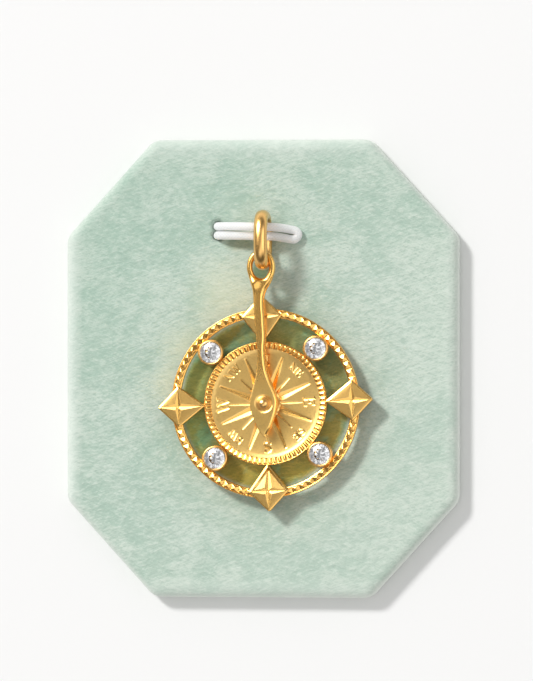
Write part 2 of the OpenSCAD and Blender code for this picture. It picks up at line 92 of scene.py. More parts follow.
# Shared node work
class Wires:
    # Short ways to add and join nodes in one tree
    def __init__(self, tree):
        self.tree = tree

    def node(self, kind, inputs=None, **settings):
        made = self.tree.nodes.new("ShaderNode" + kind)
        for key, value in settings.items():
            setattr(made, key, value)
        self.fill(made, inputs or {})
        return made

    # Each value is a socket to join to, or a plain value to set
    def fill(self, made, inputs):
        for key, value in inputs.items():
            self.feed(value, made.inputs[key])

    def feed(self, value, socket):
        if isinstance(value, bpy.types.NodeSocket):
            self.tree.links.new(value, socket)
        else:
            socket.default_value = value

    def math(self, kind, a, b=0.0):
        return self.node("Math", {0: a, 1: b}, operation=kind).outputs[0]

    def vector(self, kind, a, b, out=0):
        return self.node("VectorMath", {0: a, 1: b}, operation=kind).outputs[out]

    def plus(self, total, *terms):
        for term in terms:
            total = self.math("ADD", total, term)
        return total

    def minus(self, a, b):
        return self.math("SUBTRACT", a, b)

    def times(self, product, *factors):
        for factor in factors:
            product = self.math("MULTIPLY", product, factor)
        return product

    def noise(self, spot, scale, detail=2.0, rough=0.5, out="Fac"):
        inputs = {"Vector": spot, "Scale": scale, "Detail": detail, "Roughness": rough}
        return self.node("TexNoise", inputs).outputs[out]

    def ramp(self, value, low, high):
        return self.node(
            "MapRange", {"Value": value, "From Min": low, "From Max": high}, clamp=True
        ).outputs["Result"]

    def blend(self, share, a, b, kind="MIX"):
        return self.node("Mix", {0: share, 6: a, 7: b}, data_type="RGBA", blend_type=kind).outputs[2]

    # A tone with a share of a colour, where a value goes from low to high
    def tint(self, tone, colour, share, value, low, high, kind="MIX"):
        return self.blend(self.times(self.ramp(value, low, high), share), tone, colour, kind)

    def attribute(self, name):
        return self.node("Attribute", attribute_name=name).outputs["Fac"]

    def bump(self, shader, height, strength, distance):
        made = self.node("Bump", {"Height": height, "Strength": strength, "Distance": distance})
        self.feed(made.outputs[0], shader.inputs["Normal"])


# Fine unevenness of a hand-finished surface: broad tone, fine grain and both as height
def surfaceGrainGroup():
    group = bpy.data.node_groups.new("surfaceGrain", "ShaderNodeTree")
    scales = {"Broad Scale": 300.0, "Fine Scale": 6000.0, "Fine Share": 0.5}
    group.interface.new_socket("Place", in_out="INPUT", socket_type="NodeSocketVector")
    for label, value in scales.items():
        socket = group.interface.new_socket(label, in_out="INPUT", socket_type="NodeSocketFloat")
        socket.default_value = value
    for label in ("Tone", "Grain", "Height"):
        group.interface.new_socket(label, in_out="OUTPUT", socket_type="NodeSocketFloat")
    given = group.nodes.new("NodeGroupInput").outputs
    out = group.nodes.new("NodeGroupOutput").inputs
    w = Wires(group)
    broad = w.noise(given["Place"], given["Broad Scale"], 3.0)
    fine = w.noise(given["Place"], given["Fine Scale"], 2.0, 0.6)
    share = given["Fine Share"]
    height = w.plus(w.times(broad, w.minus(1.0, share)), w.times(fine, share))
    for label, value in (("Tone", broad), ("Grain", fine), ("Height", height)):
        w.feed(value, out[label])
    return group


surfaceGrain = surfaceGrainGroup()


def newMaterial(name):
    material = bpy.data.materials.new(name)
    material.use_nodes = True
    tree = material.node_tree
    tree.nodes.clear()
    w = Wires(tree)
    end = w.node("OutputMaterial")
    shader = w.node("BsdfPrincipled")
    tree.links.new(shader.outputs[0], end.inputs["Surface"])
    return material, w, shader


def grained(w, broad, fine, share):
    where = w.node("TexCoord").outputs["Object"]
    inputs = {"Place": where, "Broad Scale": broad, "Fine Scale": fine, "Fine Share": share}
    return w.node("Group", inputs, node_tree=surfaceGrain).outputs


# Gold
gold = {
    "face": (0.90, 0.595, 0.19, 1),
    "deep": (0.95, 0.535, 0.125, 1),
    "pit": (0.6, 0.34, 0.09, 1),
    "ring": (0.88, 0.5, 0.15, 1),
    "needle": (0.89, 0.575, 0.17, 1),
    "satinRough": 0.32,
    "needleRough": 0.3,
    "cutRough": 0.25,
    "polishedRough": 0.25,
    # Scales of the broad and the fine grain and the fine one's share, then the bump's strength and depth
    "satinGrain": (350.0, 5200.0, 0.75),
    "satinBump": (0.3, 0.00003),
    "polishedGrain": (500.0, 5000.0, 0.25),
    "polishedBump": (0.1, 0.00004),
    "shine": {"Metallic": 1.0, "Coat Weight": 0.5, "Coat Roughness": 0.2, "Coat IOR": 1.6},
}


def satinGoldMaterial(name, face, rough):
    material, w, shader = newMaterial(name)
    grain = grained(w, *gold["satinGrain"])
    cut = w.attribute("polish")
    tone = w.tint(face, gold["deep"], 0.25, grain["Tone"], 0.3, 0.7)
    tone = w.tint(tone, gold["pit"], 0.4, grain["Grain"], 0.5, 0.25)
    satin = w.plus(rough - 0.05, w.times(grain["Grain"], 0.1))
    w.fill(shader, {
        "Base Color": w.blend(cut, tone, gold["deep"]),
        "Roughness": w.plus(w.times(satin, w.minus(1.0, cut)), w.times(cut, gold["cutRough"])),
        **gold["shine"],
    })
    w.bump(shader, grain["Height"], *gold["satinBump"])
    return material


def polishedGoldMaterial():
    material, w, shader = newMaterial("polishedGold")
    grain = grained(w, *gold["polishedGrain"])
    w.fill(shader, {
        "Base Color": w.tint(gold["ring"], gold["face"], 0.3, grain["Tone"], 0.3, 0.7),
        "Roughness": w.plus(gold["polishedRough"], w.times(grain["Grain"], 0.07)),
        **gold["shine"],
    })
    w.bump(shader, grain["Height"], *gold["polishedBump"])
    return material


satinGold = satinGoldMaterial("satinGold", gold["face"], gold["satinRough"])
needleGold = satinGoldMaterial("needleGold", gold["needle"], gold["needleRough"])
polishedGold = polishedGoldMaterial()


# Mesh work
def unit(ways):
    return ways / np.linalg.norm(ways, axis=-1, keepdims=True)


def fromPivot(points):
    return (points[:, :2] - place["pivot"]).T


# Places seen along an azimuth of the compass: across it and along it
def alongAzimuth(x, y, azimuth):
    a = math.radians(azimuth)
    return x * math.cos(a) - y * math.sin(a), x * math.sin(a) + y * math.cos(a)


def shadeSmooth(mesh, smooth=True):
    mesh.polygons.foreach_set("use_smooth", [smooth] * len(mesh.polygons))


def addValues(mesh, label, values):
    layer = mesh.attributes.new(label, "FLOAT", "POINT")
    layer.data.foreach_set("value", np.asarray(values, np.float32))


def addPiece(name, points, faces, material, body, nodes, polish=None):
    mesh = bpy.data.meshes.new(name)
    mesh.from_pydata((np.asarray(points, float) * mm).tolist(), [], [list(f) for f in faces])
    mesh.materials.append(material)
    shadeSmooth(mesh)
    if polish is not None:
        addValues(mesh, "polish", polish)
    mesh.update()
    piece = addObject(name, mesh)
    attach(piece, body)
    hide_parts(*nodes)
    return piece


# Quads between rows of equal length; loopRows and loopPoints close the sheet round
def sheetFaces(rows, count, loopRows=False, loopPoints=True, first=0):
    i = np.arange(rows if loopRows else rows - 1)[:, None]
    j = np.arange(count if loopPoints else count - 1)
    quad = [(i + p) % rows * count + (j + q) % count for p, q in ((0, 0), (0, 1), (1, 1), (1, 0))]
    return (np.stack(quad, 2).reshape(-1, 4) + first).tolist()


# Points of the dial, x to its east, y to its north and z above its back, put in place
def onDial(points, azimuth=0.0):
    x, y, z = np.asarray(points, float).T
    u, v = alongAzimuth(x, y, place["turn"] - azimuth)
    return np.stack([u + place["pivot"][0], v + place["pivot"][1], z + place["dialBack"]], 1)


# One part of the dial's casting
def addCasting(name, points, faces, polish=None, azimuth=0.0, material=satinGold):
    placed = onDial(points, azimuth)
    addPiece(name, placed, faces, material, "dial", ["compass_dial"], polish)


# Faces that close the last row of a sheet, and the first
def capFaces(rows, count, first=True):
    last = [(rows - 1) * count + i for i in range(count)]
    return [list(range(count))[::-1], last] if first else [last]


# Even turns all the way round
def turnsRound(count):
    return np.arange(count) * 2 * math.pi / count


# Solid turned from a closed outline of [radius, height]
def turned(outline, count):
    a = turnsRound(count)[:, None]
    r, z = np.asarray(outline, float).T
    points = np.stack([r * np.sin(a), r * np.cos(a), z + 0 * a], 2)
    return points.reshape(-1, 3), sheetFaces(count, len(outline), loopRows=True)


def softStep(value, low, high):
    t = np.clip((value - low) / (high - low), 0, 1)
    return t * t * (3 - 2 * t)


compass = {"N": 0, "NE": 45, "E": 90, "SE": 135, "S": 180, "SW": 225, "W": 270, "NW": 315}
inSettings = ("NE", "SE", "SW", "NW")


# Dial face
dialFace = {
    "height": 0.65,
    "reach": 6.42,
    "inner": 1.3,
    "step": 0.05,
    "dish": (5.95, 6.4, 0.03),
    "rays": {"from": 1.65, "to": 5.75, "width": 1.08, "endWidth": 0.42, "depth": 0.125},
    "lines": {"from": 1.8, "to": 4.15, "width": 0.44, "endWidth": 0.3, "depth": 0.055},
    "ticks": {"from": 1.75, "to": 4.4, "width": 0.4, "endWidth": 0.26, "depth": 0.055},
    "bowl": 0.15,
    "slope": 0.18,
    "letters": {"radius": 5.1, "height": 1.22, "stroke": 0.4},
    "pairs": {"radius": 5.32, "height": 0.8, "stroke": 0.3},
    "pairSpace": 0.36,
    # How far the ends of a groove run out, and the depths where a cut begins to shine and is bright
    "runOut": 0.06,
    "bright": (0.005, 0.04),
}

# Letters as strokes [x, y, x, y, thickness], shares of the letter's height, and their width
letterShapes = {
    "N": (0.84, [
        [0.04, 0, 0.04, 1, 0.7], [0.04, 1, 0.8, 0.02, 1.15], [0.8, 0, 0.8, 1, 0.7],
        [-0.1, 0, 0.18, 0, 0.6], [0.66, 1, 0.94, 1, 0.6], [-0.1, 1, 0.1, 1, 0.6],
    ]),
    "E": (0.72, [
        [0.08, 0, 0.08, 1, 1.15], [-0.06, 0, 0.7, 0, 0.75], [0.08, 0.52, 0.48, 0.52, 0.7],
        [-0.06, 1, 0.66, 1, 0.75], [0.72, 0, 0.74, 0.22, 0.65], [0.48, 0.4, 0.48, 0.64, 0.6],
        [0.66, 0.8, 0.66, 1, 0.65],
    ]),
    "W": (1.2, [
        [0, 1, 0.3, 0, 1.1], [0.3, 0, 0.6, 0.92, 0.7], [0.6, 0.92, 0.9, 0, 1.1],
        [0.9, 0, 1.2, 1, 0.7], [-0.12, 1, 0.14, 1, 0.6], [0.46, 1, 0.72, 1, 0.6],
        [1.06, 1, 1.32, 1, 0.6],
    ]),
    "S": (0.62, [[0.6, 0.76, 0.6, 0.98, 0.6], [0.02, 0.02, 0.02, 0.24, 0.6]]),
}

# Curve of the S, as points each with the thickness of the stroke that follows
curveOfS = [
    (0.6, 0.78, 0.75), (0.5, 0.95, 0.8), (0.3, 1.0, 0.9), (0.1, 0.92, 1), (0.03, 0.75, 1.1),
    (0.12, 0.6, 1.25), (0.48, 0.42, 1.1), (0.6, 0.25, 1), (0.52, 0.08, 0.85), (0.3, 0.0, 0.8),
    (0.1, 0.05, 0.75), (0.02, 0.22, 0.75),
]
letterShapes["S"][1].extend([x, y, *end[:2], thick] for (x, y, thick), end in zip(curveOfS, curveOfS[1:]))


# Depth of one V groove from a to b, at points x, y
def strokeDepth(x, y, ax, ay, bx, by, width):
    dx, dy = bx - ax, by - ay
    t = np.clip(((x - ax) * dx + (y - ay) * dy) / (dx * dx + dy * dy), 0, 1)
    away = np.hypot(x - ax - t * dx, y - ay - t * dy)
    return np.clip(1 - away / (width / 2), 0, 1) * width * dialFace["slope"]


def wedgeDepth(x, y, azimuth, wedge):
    u, v = alongAzimuth(x, y, azimuth)
    t = np.clip((v - wedge["from"]) / (wedge["to"] - wedge["from"]), 0, 1)
    half = (wedge["width"] * (1 - t) + wedge["endWidth"] * t) / 2
    out = dialFace["runOut"]
    ends = np.clip((wedge["to"] + out - v) / (2 * out), 0, 1)
    ends = ends * np.clip((v - wedge["from"] + out) / (2 * out), 0, 1)
    deep = wedge["depth"] * half / (wedge["width"] / 2)
    return np.clip(1 - np.abs(u) / half, 0, 1) * deep * ends


def letterDepth(x, y, azimuth, letters, size):
    u, v = alongAzimuth(x, y, azimuth)
    v = v - size["radius"]
    h = size["height"]
    space = dialFace["pairSpace"]
    wide = sum(letterShapes[c][0] for c in letters) + space * (len(letters) - 1)
    left = -wide / 2
    deepest = np.zeros_like(x)
    for c in letters:
        for x0, y0, x1, y1, thick in letterShapes[c][1]:
            deepest = np.maximum(deepest, strokeDepth(
                u, v, (left + x0) * h, (y0 - 0.5) * h, (left + x1) * h, (y1 - 0.5) * h,
                size["stroke"] * thick))
        left += letterShapes[c][0] + space
    return deepest


def engravedDepth(x, y):
    deepest = np.zeros_like(x)
    for kind, first, step in (("rays", 22.5, 45), ("lines", 45, 90), ("ticks", 0, 90)):
        for azimuth in np.arange(first, 360, step):
            deepest = np.maximum(deepest, wedgeDepth(x, y, azimuth, dialFace[kind]))
    for letters, azimuth in compass.items():
        size = dialFace["letters" if len(letters) == 1 else "pairs"]
        deepest = np.maximum(deepest, letterDepth(x, y, azimuth, letters, size))
    return deepest


def dialFaceMesh():
    step, reach = dialFace["step"], dialFace["reach"]
    half = int(reach / step) + 1
    side = np.arange(-half, half + 1) * step
    x, y = np.meshgrid(side, side)
    r = np.hypot(x, y)
    deep = engravedDepth(x, y)
    low, high, rise = dialFace["dish"]
    z = dialFace["height"] - deep + dialFace["bowl"] * (np.minimum(r / reach, 1) ** 6 - 1)
    z = z + softStep(r, low, high) * rise
    keep = (r < reach) & (r > dialFace["inner"])
    index = np.full(x.shape, -1)
    index[keep] = np.arange(keep.sum())
    quads = np.stack([index[:-1, :-1], index[:-1, 1:], index[1:, 1:], index[1:, :-1]], 2).reshape(-1, 4)
    faces = quads[(quads >= 0).all(1)].tolist()
    points = np.stack([x[keep], y[keep], z[keep]], 1)
    addCasting("dialEngravedFace", points, faces, softStep(deep[keep], *dialFace["bright"]))


dialFaceMesh()
print("dial face ready")


# Milled rim and hoop
milled = {
    "cells": 72,
    "samples": 24,
    "across": 13,
    # Power that squares the corners of a cell, and where its side starts and how far it reaches
    "square": 8,
    "sideAt": (1.04, 0.1),
    # Outline under the cells, where the cells start and end, the height of their ground, their share
    # of the pitch, the height of their sides and of their domes along and across, the powers of the
    # domes' curves, and how far in a ridge's hipped ends reach
    "rim": {
        "outline": [
            (1.25, 0.0), (1.25, 0.1), (6.0, 0.2), (6.25, 0.42), (6.34, 0.6), (6.37, 0.66),
        ],
        "inner": 6.39, "outer": 7.1, "ground": (0.61, 0.77), "share": 0.76,
        "side": 0.07, "dome": (0.09, 0.02), "curve": (1.15, 8.0), "hip": 0.0,
        "lip": [
            (7.11, 0.78), (7.13, 0.86), (7.17, 0.89), (7.21, 0.86), (7.24, 0.76), (7.25, 0.6),
            (7.25, 0.14), (7.22, 0.04), (7.12, 0.0),
        ],
    },
    "hoop": {
        "outline": [
            (10.14, 0.0), (10.1, 0.05), (10.09, 0.5), (10.09, 0.58), (10.11, 0.63), (10.15, 0.66),
            (10.2, 0.672), (10.23, 0.678),
        ],
        "inner": 10.25, "outer": 10.9, "ground": (0.68, 0.68), "share": 0.9,
        "side": 0.05, "dome": (0.15, 0.0), "curve": (1.1, 8.0), "hip": 0.75,
        "lip": [
            (10.92, 0.72), (10.95, 0.79), (11.01, 0.81), (11.06, 0.79), (11.09, 0.72), (11.1, 0.6),
            (11.1, 0.1), (11.07, 0.03), (11.0, 0.0),
        ],
    },
}


# Ring with a row of domed cells between two lips
def milledRing(name, ring):
    across = np.linspace(ring["inner"], ring["outer"], milled["across"])
    ground = np.linspace(*ring["ground"], milled["across"])
    base = np.asarray(ring["outline"] + list(zip(across, ground)) + ring["lip"], float)
    count = milled["cells"] * milled["samples"]
    r, low = base.T
    a = turnsRound(count)[:, None]
    along = np.abs((a / (2 * math.pi) * milled["cells"]) % 1 - 0.5) / (ring["share"] / 2)
    middle = (ring["inner"] + ring["outer"]) / 2
    sideways = np.abs(r - middle) / (ring["outer"] - middle)
    inside = (sideways <= 1.001) & (low >= ring["ground"][0] - 1e-6)
    square = milled["square"]
    start, reach = milled["sideAt"]
    away = (along ** square + sideways ** square) ** (1 / square)
    side = softStep(start - away, 0, reach) * inside
    curveAlong, curveSideways = ring["curve"]
    high, wide = ring["dome"]
    if ring["hip"]:
        # A ridge with hipped ends
        hip = np.clip((sideways - 1 + ring["hip"]) / ring["hip"], 0, 1)
        dome = 1 - (along ** square + hip ** square) ** (curveAlong / square)
    else:
        # A ridge from lip to lip
        dome = np.clip(1 - along ** curveAlong, 0, 1) * np.clip(1 - sideways ** curveSideways, 0, 1)
    dome = high * dome + wide * (1 - sideways ** 2) * (along < 1)
    z = low + ring["side"] * side + np.maximum(dome, 0) * inside
    points = np.stack([r * np.sin(a), r * np.cos(a), z], 2).reshape(-1, 3)
    addCasting(name, points, sheetFaces(count, len(base), loopRows=True), np.ones(len(points)))


milledRing("dialMilledRim", milled["rim"])
milledRing("dialBeadedHoop", milled["hoop"])


# Hub, kites and bezels
setting = {
    "radius": 8.75,
    "hub": [(0.66, 0.3), (0.66, 0.86), (0.72, 0.9), (1.3, 0.9), (1.38, 0.88), (1.43, 0.82),
            (1.46, 0.72), (1.48, 0.5), (1.4, 0.3)],
    "bezel": [
        (0.26, 0.0), (1.28, 1.0), (1.29, 1.1), (1.23, 1.18), (1.215, 1.25), (1.24, 1.31),
        (1.3, 1.335), (1.36, 1.33), (1.43, 1.28), (1.48, 1.2), (1.5, 1.1), (1.5, 0.12),
        (1.47, 0.03), (1.4, 0.0),
    ],
}

kite = {
    "radius": 10.24,
    "out": 2.46,
    "side": 2.42,
    "inward": 3.2,
    "corners": (0.12, 0.24, 0.12, 0.1),
    "spacing": 0.06,
    "height": 1.3,
    # Width of the border on the edges that face the light and on the others, and its slope
    "bevel": (0.26, 0.13),
    "fall": (0.4, 0.24),
    # Azimuth of the wide border's side, and how squarely an edge faces it where it starts and is full
    "facing": (135, 0.45, 0.85),
    # Width and depth of the star's grooves, the share of each lost at their ends, and the gap there
    "star": 0.92,
    "starDepth": 0.15,
    "starFade": (0.88, 0.85),
    "starGap": 0.45,
    # Rise of the panels towards the middle, and of their edges, and their share of polish
    "tilt": 0.055,
    "pillow": (0.02, 0.2),
    "panelPolish": 0.4,
    # Wall as distance in and height, then as distance in and depth below its top, and where the
    # points lie across the border and the panels
    "wall": [(0.03, 0.0), (0.0, 0.06)],
    "wallTop": [(0.0, 0.5), (0.0, 0.03), (0.015, 0.0)],
    "borderAt": (0.08, 0.35, 0.65, 0.92, 0.99),
    "panelAt": (0.012, 0.025, *np.linspace(0.05, 0.97, 38)),
    # Slope of the inner half of the lowest kite
    "lean": {"S": 0.14},
}


# Closed outline with rounded corners and points at an even spacing
def roundedOutline(corners, radii, spacing):
    corners = np.asarray(corners, float)
    arcs = []
    for i, radius in enumerate(np.broadcast_to(radii, len(corners))):
        corner = corners[i]
        back, ahead = unit(corners[i - 1] - corner), unit(corners[(i + 1) % len(corners)] - corner)
        half = math.acos(float(back @ ahead)) / 2
        middle = corner + unit(back + ahead) * radius / math.sin(half)
        start = corner + back * radius / math.tan(half) - middle
        sweep = math.pi - 2 * half
        steps = max(6, int(sweep * radius / spacing) + 1)
        turn = math.atan2(start[1], start[0]) + sweep * np.arange(steps + 1) / steps
        arcs.append(middle + radius * np.column_stack([np.cos(turn), np.sin(turn)]))
    points = []
    for arc, following in zip(arcs, arcs[1:] + arcs[:1]):
        gap = following[0] - arc[-1]
        steps = max(1, int(np.linalg.norm(gap) / spacing))
        points += list(arc) + [arc[-1] + gap * k / steps for k in range(1, steps)]
    return np.array(points)


# Ways out of an anticlockwise outline, square to it at each point
def outwardWays(outline):
    ahead = np.roll(outline, -1, 0) - np.roll(outline, 1, 0)
    return unit(np.column_stack([ahead[:, 1], -ahead[:, 0]]))


def kiteMesh(name, azimuth, lean):
    out, side, inward, height = kite["out"], kite["side"], kite["inward"], kite["height"]
    corners = [(side, 0), (0, out), (-side, 0), (0, -inward)]
    outline = roundedOutline(corners, kite["corners"], kite["spacing"])
    upper, lower = side / math.hypot(side, out), side / math.hypot(side, inward)
    middle = np.array([0, (out * upper - inward * lower) / (upper + lower)])
    inradius = (out - middle[1]) * upper

    def drawnIn(inset):
        return middle + (outline - middle) * (1 - inset / inradius)[:, None]

    # The border is wider on the side that faces the upper left
    facing, low, high = kite["facing"]
    a = math.radians(facing - place["turn"] + azimuth)
    towards = softStep(outwardWays(outline) @ (math.cos(a), math.sin(a)), low, high)
    wide, narrow = kite["bevel"]
    bevel = narrow + (wide - narrow) * towards
    steep, gentle = kite["fall"]
    edge = height - bevel * (gentle + (steep - gentle) * towards)
    # Steps in from the edge: the wall, the sloping border and the panels
    none = 0 * edge
    steps = [(none + inset, none + z) for inset, z in kite["wall"]]
    steps += [(none + inset, edge - below) for inset, below in kite["wallTop"]]
    steps += [(bevel * t, edge + (height - edge) * t) for t in kite["borderAt"]]
    points = [np.column_stack([drawnIn(inset), z]) for inset, z in steps]
    polish = [np.ones(len(outline))] * len(steps)
    thin, flat = kite["starFade"]
    rise, soft = kite["pillow"]
    dull = kite["panelPolish"]
    for t in kite["panelAt"]:
        inset = bevel + (inradius - bevel) * t
        ring = drawnIn(inset)
        u, v = ring.T
        deep = np.zeros(len(ring))
        for along, across, reach in ((v, u, out), (-v, u, inward), (u, v, side), (-u, v, side)):
            far = np.clip(along / (reach - kite["starGap"]), 0, 1)
            half = kite["star"] / 2 * (1 - thin * far) * (along > -0.2) * (far < 1) + 1e-6
            groove = np.clip(1 - np.abs(across) / half, 0, 1) * kite["starDepth"] * (1 - flat * far)
            deep = np.maximum(deep, groove)
        within = inset - bevel
        panel = height + kite["tilt"] * within + rise * (1 - np.exp(-within / soft))
        panel = panel - lean * np.maximum(-v, 0) * softStep(within, 0.0, 0.3)
        points.append(np.column_stack([ring, panel - deep]))
        polish.append(dull + (1 - dull) * softStep(deep, *dialFace["bright"]))
    rows, count = len(points), len(outline)
    points = np.concatenate(points)
    faces = sheetFaces(rows, count) + capFaces(rows, count, first=False)
    points[:, 1] += kite["radius"]
    addCasting(name, points, faces, np.concatenate(polish), azimuth)


def settingMeshes():
    points, faces = turned(setting["hub"], 96)
    addCasting("dialHub", points, faces, np.zeros(len(points)))
    for letters in "NESW":
        kiteMesh("dialKite" + letters, compass[letters], kite["lean"].get(letters, 0.0))
    points, faces = turned(setting["bezel"], 72)
    points[:, 1] += setting["radius"]
    for letters in inSettings:
        addCasting("dialBezel" + letters, points, faces, azimuth=compass[letters], material=polishedGold)


settingMeshes()
print("dial ready")


# Needle
needle = {
    # Distance from the rivet towards the eye, half-width on the left and on the right
    "outline": [
        (-3.98, 0.02, 0.02), (-3.85, 0.16, 0.14), (-3.5, 0.42, 0.34), (-3.1, 0.70, 0.58),
        (-1.95, 1.15, 1.10), (-0.8, 1.52, 1.47), (0.1, 1.62, 1.62), (1.55, 1.30, 1.29),
        (2.7, 0.94, 0.93), (3.9, 0.68, 0.60), (5.1, 0.54, 0.48), (6.8, 0.52, 0.50),
        (7.4, 0.56, 0.57), (10.0, 0.68, 0.57), (12.1, 0.76, 0.55), (12.7, 0.76, 0.64),
        (13.25, 0.80, 0.87), (14.05, 0.98, 1.38), (14.9, 1.18, 1.76), (15.8, 1.36, 1.97),
        (16.4, 1.30, 1.93), (17.0, 1.10, 1.74), (17.45, 0.80, 1.46), (17.78, 0.42, 1.06),
    ],
    # Top of the eye, which closes the outline, as distance to the right of the middle and along
    "crown": [(0.85, 17.93), (0.6, 18.03), (0.3, 18.07), (0.0, 18.03), (-0.22, 17.94)],
    "stem": (-3.98, 14.35, 0.12),
    "sides": 24,
    # How much thinner the tip is, and where that starts and ends
    "tip": (0.14, 2.8, 4.1),
    "eye": (0.28, 15.9),
    "eyeFrom": 13.0,
    "eyeTurns": 120,
    # Half-width and half-length of the hole, the least and the most metal round it, and its rounding
    "hole": (1.0, 1.3),
    "eyeMetal": (0.3, 2.3),
    "eyeEdge": (0.45, 0.2),
    # Rounding of the right edge at the head and along the stem, and where it changes
    "edge": (0.16, 0.34),
    "edgeFrom": (0.8, 3.0),
    # Rounding of the left edge at the head and at the eye, and where it changes
    "leftEdge": (0.09, 0.34),
    "leftEdgeFrom": (10.0, 12.8),
    "under": 0.12,
    # The most of the width that a rounding takes, above and below
    "roundest": (0.42, 0.4),
    "voxel": 0.045,
    "soften": (0.5, 4),
    # Bright chamfer on the right edge: where it starts at the head and on the stem, its slope, and
    # where along the needle it comes and goes
    "chamfer": (0.3, 0.44),
    "chamferSlope": 0.53,
    "chamferEnds": (-3.9, -3.6, 13.2, 15.0),
    # Stretch of the stem over which the satin face turns bright
    "bright": (1.0, 6.0),
    # Countersink: inner and outer radius, and depth
    "dish": (0.72, 1.12, 0.13),
    # Swelling at the foot of the eye: place, reach and height
    "shoulder": (-0.5, 14.1, 0.4, 0.2),
}


# Smooth curve through a table of points, one value for each x
def smoothTable(table, x):
    table = np.asarray(table, float)
    stations = table[:, 0]
    i = np.clip(np.searchsorted(stations, x) - 1, 0, len(stations) - 2)
    slopes = np.gradient(table[:, 1:], stations, axis=0)
    h = (stations[i + 1] - stations[i])[:, None]
    t = (x - stations[i])[:, None] / h
    a, b = table[i, 1:], table[i + 1, 1:]
    m, n = slopes[i] * h, slopes[i + 1] * h
    start = (2 * t**3 - 3 * t**2 + 1) * a + (t**3 - 2 * t**2 + t) * m
    return start + (3 * t**2 - 2 * t**3) * b + (t**3 - t**2) * n


# Points round a section between left and right, with rounded corners above and below
def barSection(left, right, low, high, edge, under, leftEdge=None):
    span = right - left
    above, below = needle["roundest"]
    edge, under = min(edge, span * above), min(under, span * below)
    leftEdge = edge if leftEdge is None else min(leftEdge, edge)
    corners = (
        (right - under, low + under, under), (right - edge, high - edge, edge),
        (left + leftEdge, high - leftEdge, leftEdge), (left + under, low + under, under),
    )
    arc = np.radians(np.linspace(-90, 0, needle["sides"] // 4))
    return [(x + r * math.cos(a), z + r * math.sin(a))
            for quarter, (x, z, r) in enumerate(corners) for a in arc + quarter * math.pi / 2]


# Width between two ones, from the first at low to the second at high
def between(pair, v, low, high):
    first, second = pair
    return first + (second - first) * softStep(v, low, high)


def stemSections(low, high):
    start, end, step = needle["stem"]
    stations = np.concatenate([np.arange(start, end, step), [end]])
    halves = np.maximum(smoothTable(needle["outline"], stations), 0.02)
    thinner, tipFrom, tipTo = needle["tip"]
    points = []
    for v, (left, right) in zip(stations, halves):
        top = high - thinner * softStep(-v, tipFrom, tipTo)
        edge = between(needle["edge"], v, *needle["edgeFrom"])
        leftEdge = between(needle["leftEdge"], v, *needle["leftEdgeFrom"])
        section = barSection(-left, right, low, top, edge, needle["under"], leftEdge)
        points += [(u, v, z) for u, z in section]
    return points, len(stations)


# The eye: a ring between the hole and the outline, which is found along each ray
def eyeSections(low, high):
    eyeU, eyeV = needle["eye"]
    vs = np.linspace(needle["eyeFrom"], needle["outline"][-1][0], 200)
    edges = smoothTable(needle["outline"], vs)
    rim = np.concatenate([
        np.column_stack([edges[:, 1], vs]), needle["crown"], np.column_stack([-edges[::-1, 0], vs[::-1]]),
    ]) - needle["eye"]
    rimAngle = np.arctan2(rim[:, 0], rim[:, 1])
    rimReach = np.hypot(rim[:, 0], rim[:, 1])
    order = np.argsort(rimAngle)
    least, most = needle["eyeMetal"]
    points = []
    for a in turnsRound(needle["eyeTurns"]) - math.pi:
        reach = float(np.interp(a, rimAngle[order], rimReach[order]))
        hole = 1 / math.hypot(math.sin(a) / needle["hole"][0], math.cos(a) / needle["hole"][1])
        reach = max(min(reach, most), hole + least)
        section = barSection(hole, reach, low, high, *needle["eyeEdge"])
        points += [(eyeU + r * math.sin(a), eyeV + r * math.cos(a), z) for r, z in section]
    return points


# Countersink, chamfer and swelling, cut into the needle's upper face
def workNeedle(solid, low, high):
    co = np.zeros(len(solid.vertices) * 3)
    solid.vertices.foreach_get("co", co)
    co = co.reshape(-1, 3) / mm
    x, y = fromPivot(co)
    u, v = alongAzimuth(x, y, -place["turn"])
    inner, outer, deep = needle["dish"]
    upper = softStep(co[:, 2], low + 0.4, high - 0.2)
    co[:, 2] -= deep * upper * np.clip((outer - np.hypot(x, y)) / (outer - inner), 0, 1)
    # Distance in from the right edge, square to it
    table = np.array([(t[0], t[2]) for t in needle["outline"]])
    ends, ahead = (table[0, 0], table[-1, 0]), 0.05
    edges = smoothTable(table, np.clip(v, *ends))[:, 0]
    steep = smoothTable(table, np.clip(v + ahead, *ends))[:, 0] - edges
    off = (edges - u) / np.hypot(1, steep / ahead)
    cut = np.maximum(between(needle["chamfer"], v, *needle["edgeFrom"]) - off, 0)
    cut *= softStep(co[:, 2], high - 0.3, high - 0.15)
    comes, full, goes, gone = needle["chamferEnds"]
    cut *= softStep(v, comes, full) * (1 - softStep(v, goes, gone))
    co[:, 2] -= needle["chamferSlope"] * cut
    swellU, swellV, swellReach, swellHigh = needle["shoulder"]
    swell = np.exp(-((u - swellU) ** 2 + (v - swellV) ** 2) / (2 * swellReach ** 2))
    co[:, 2] += swellHigh * swell * softStep(co[:, 2], high - 0.5, high - 0.2)
    solid.vertices.foreach_set("co", (co * mm).ravel())
    addValues(solid, "polish", np.maximum(softStep(v, *needle["bright"]), softStep(cut, 0.0, 0.05)))
    solid.update()


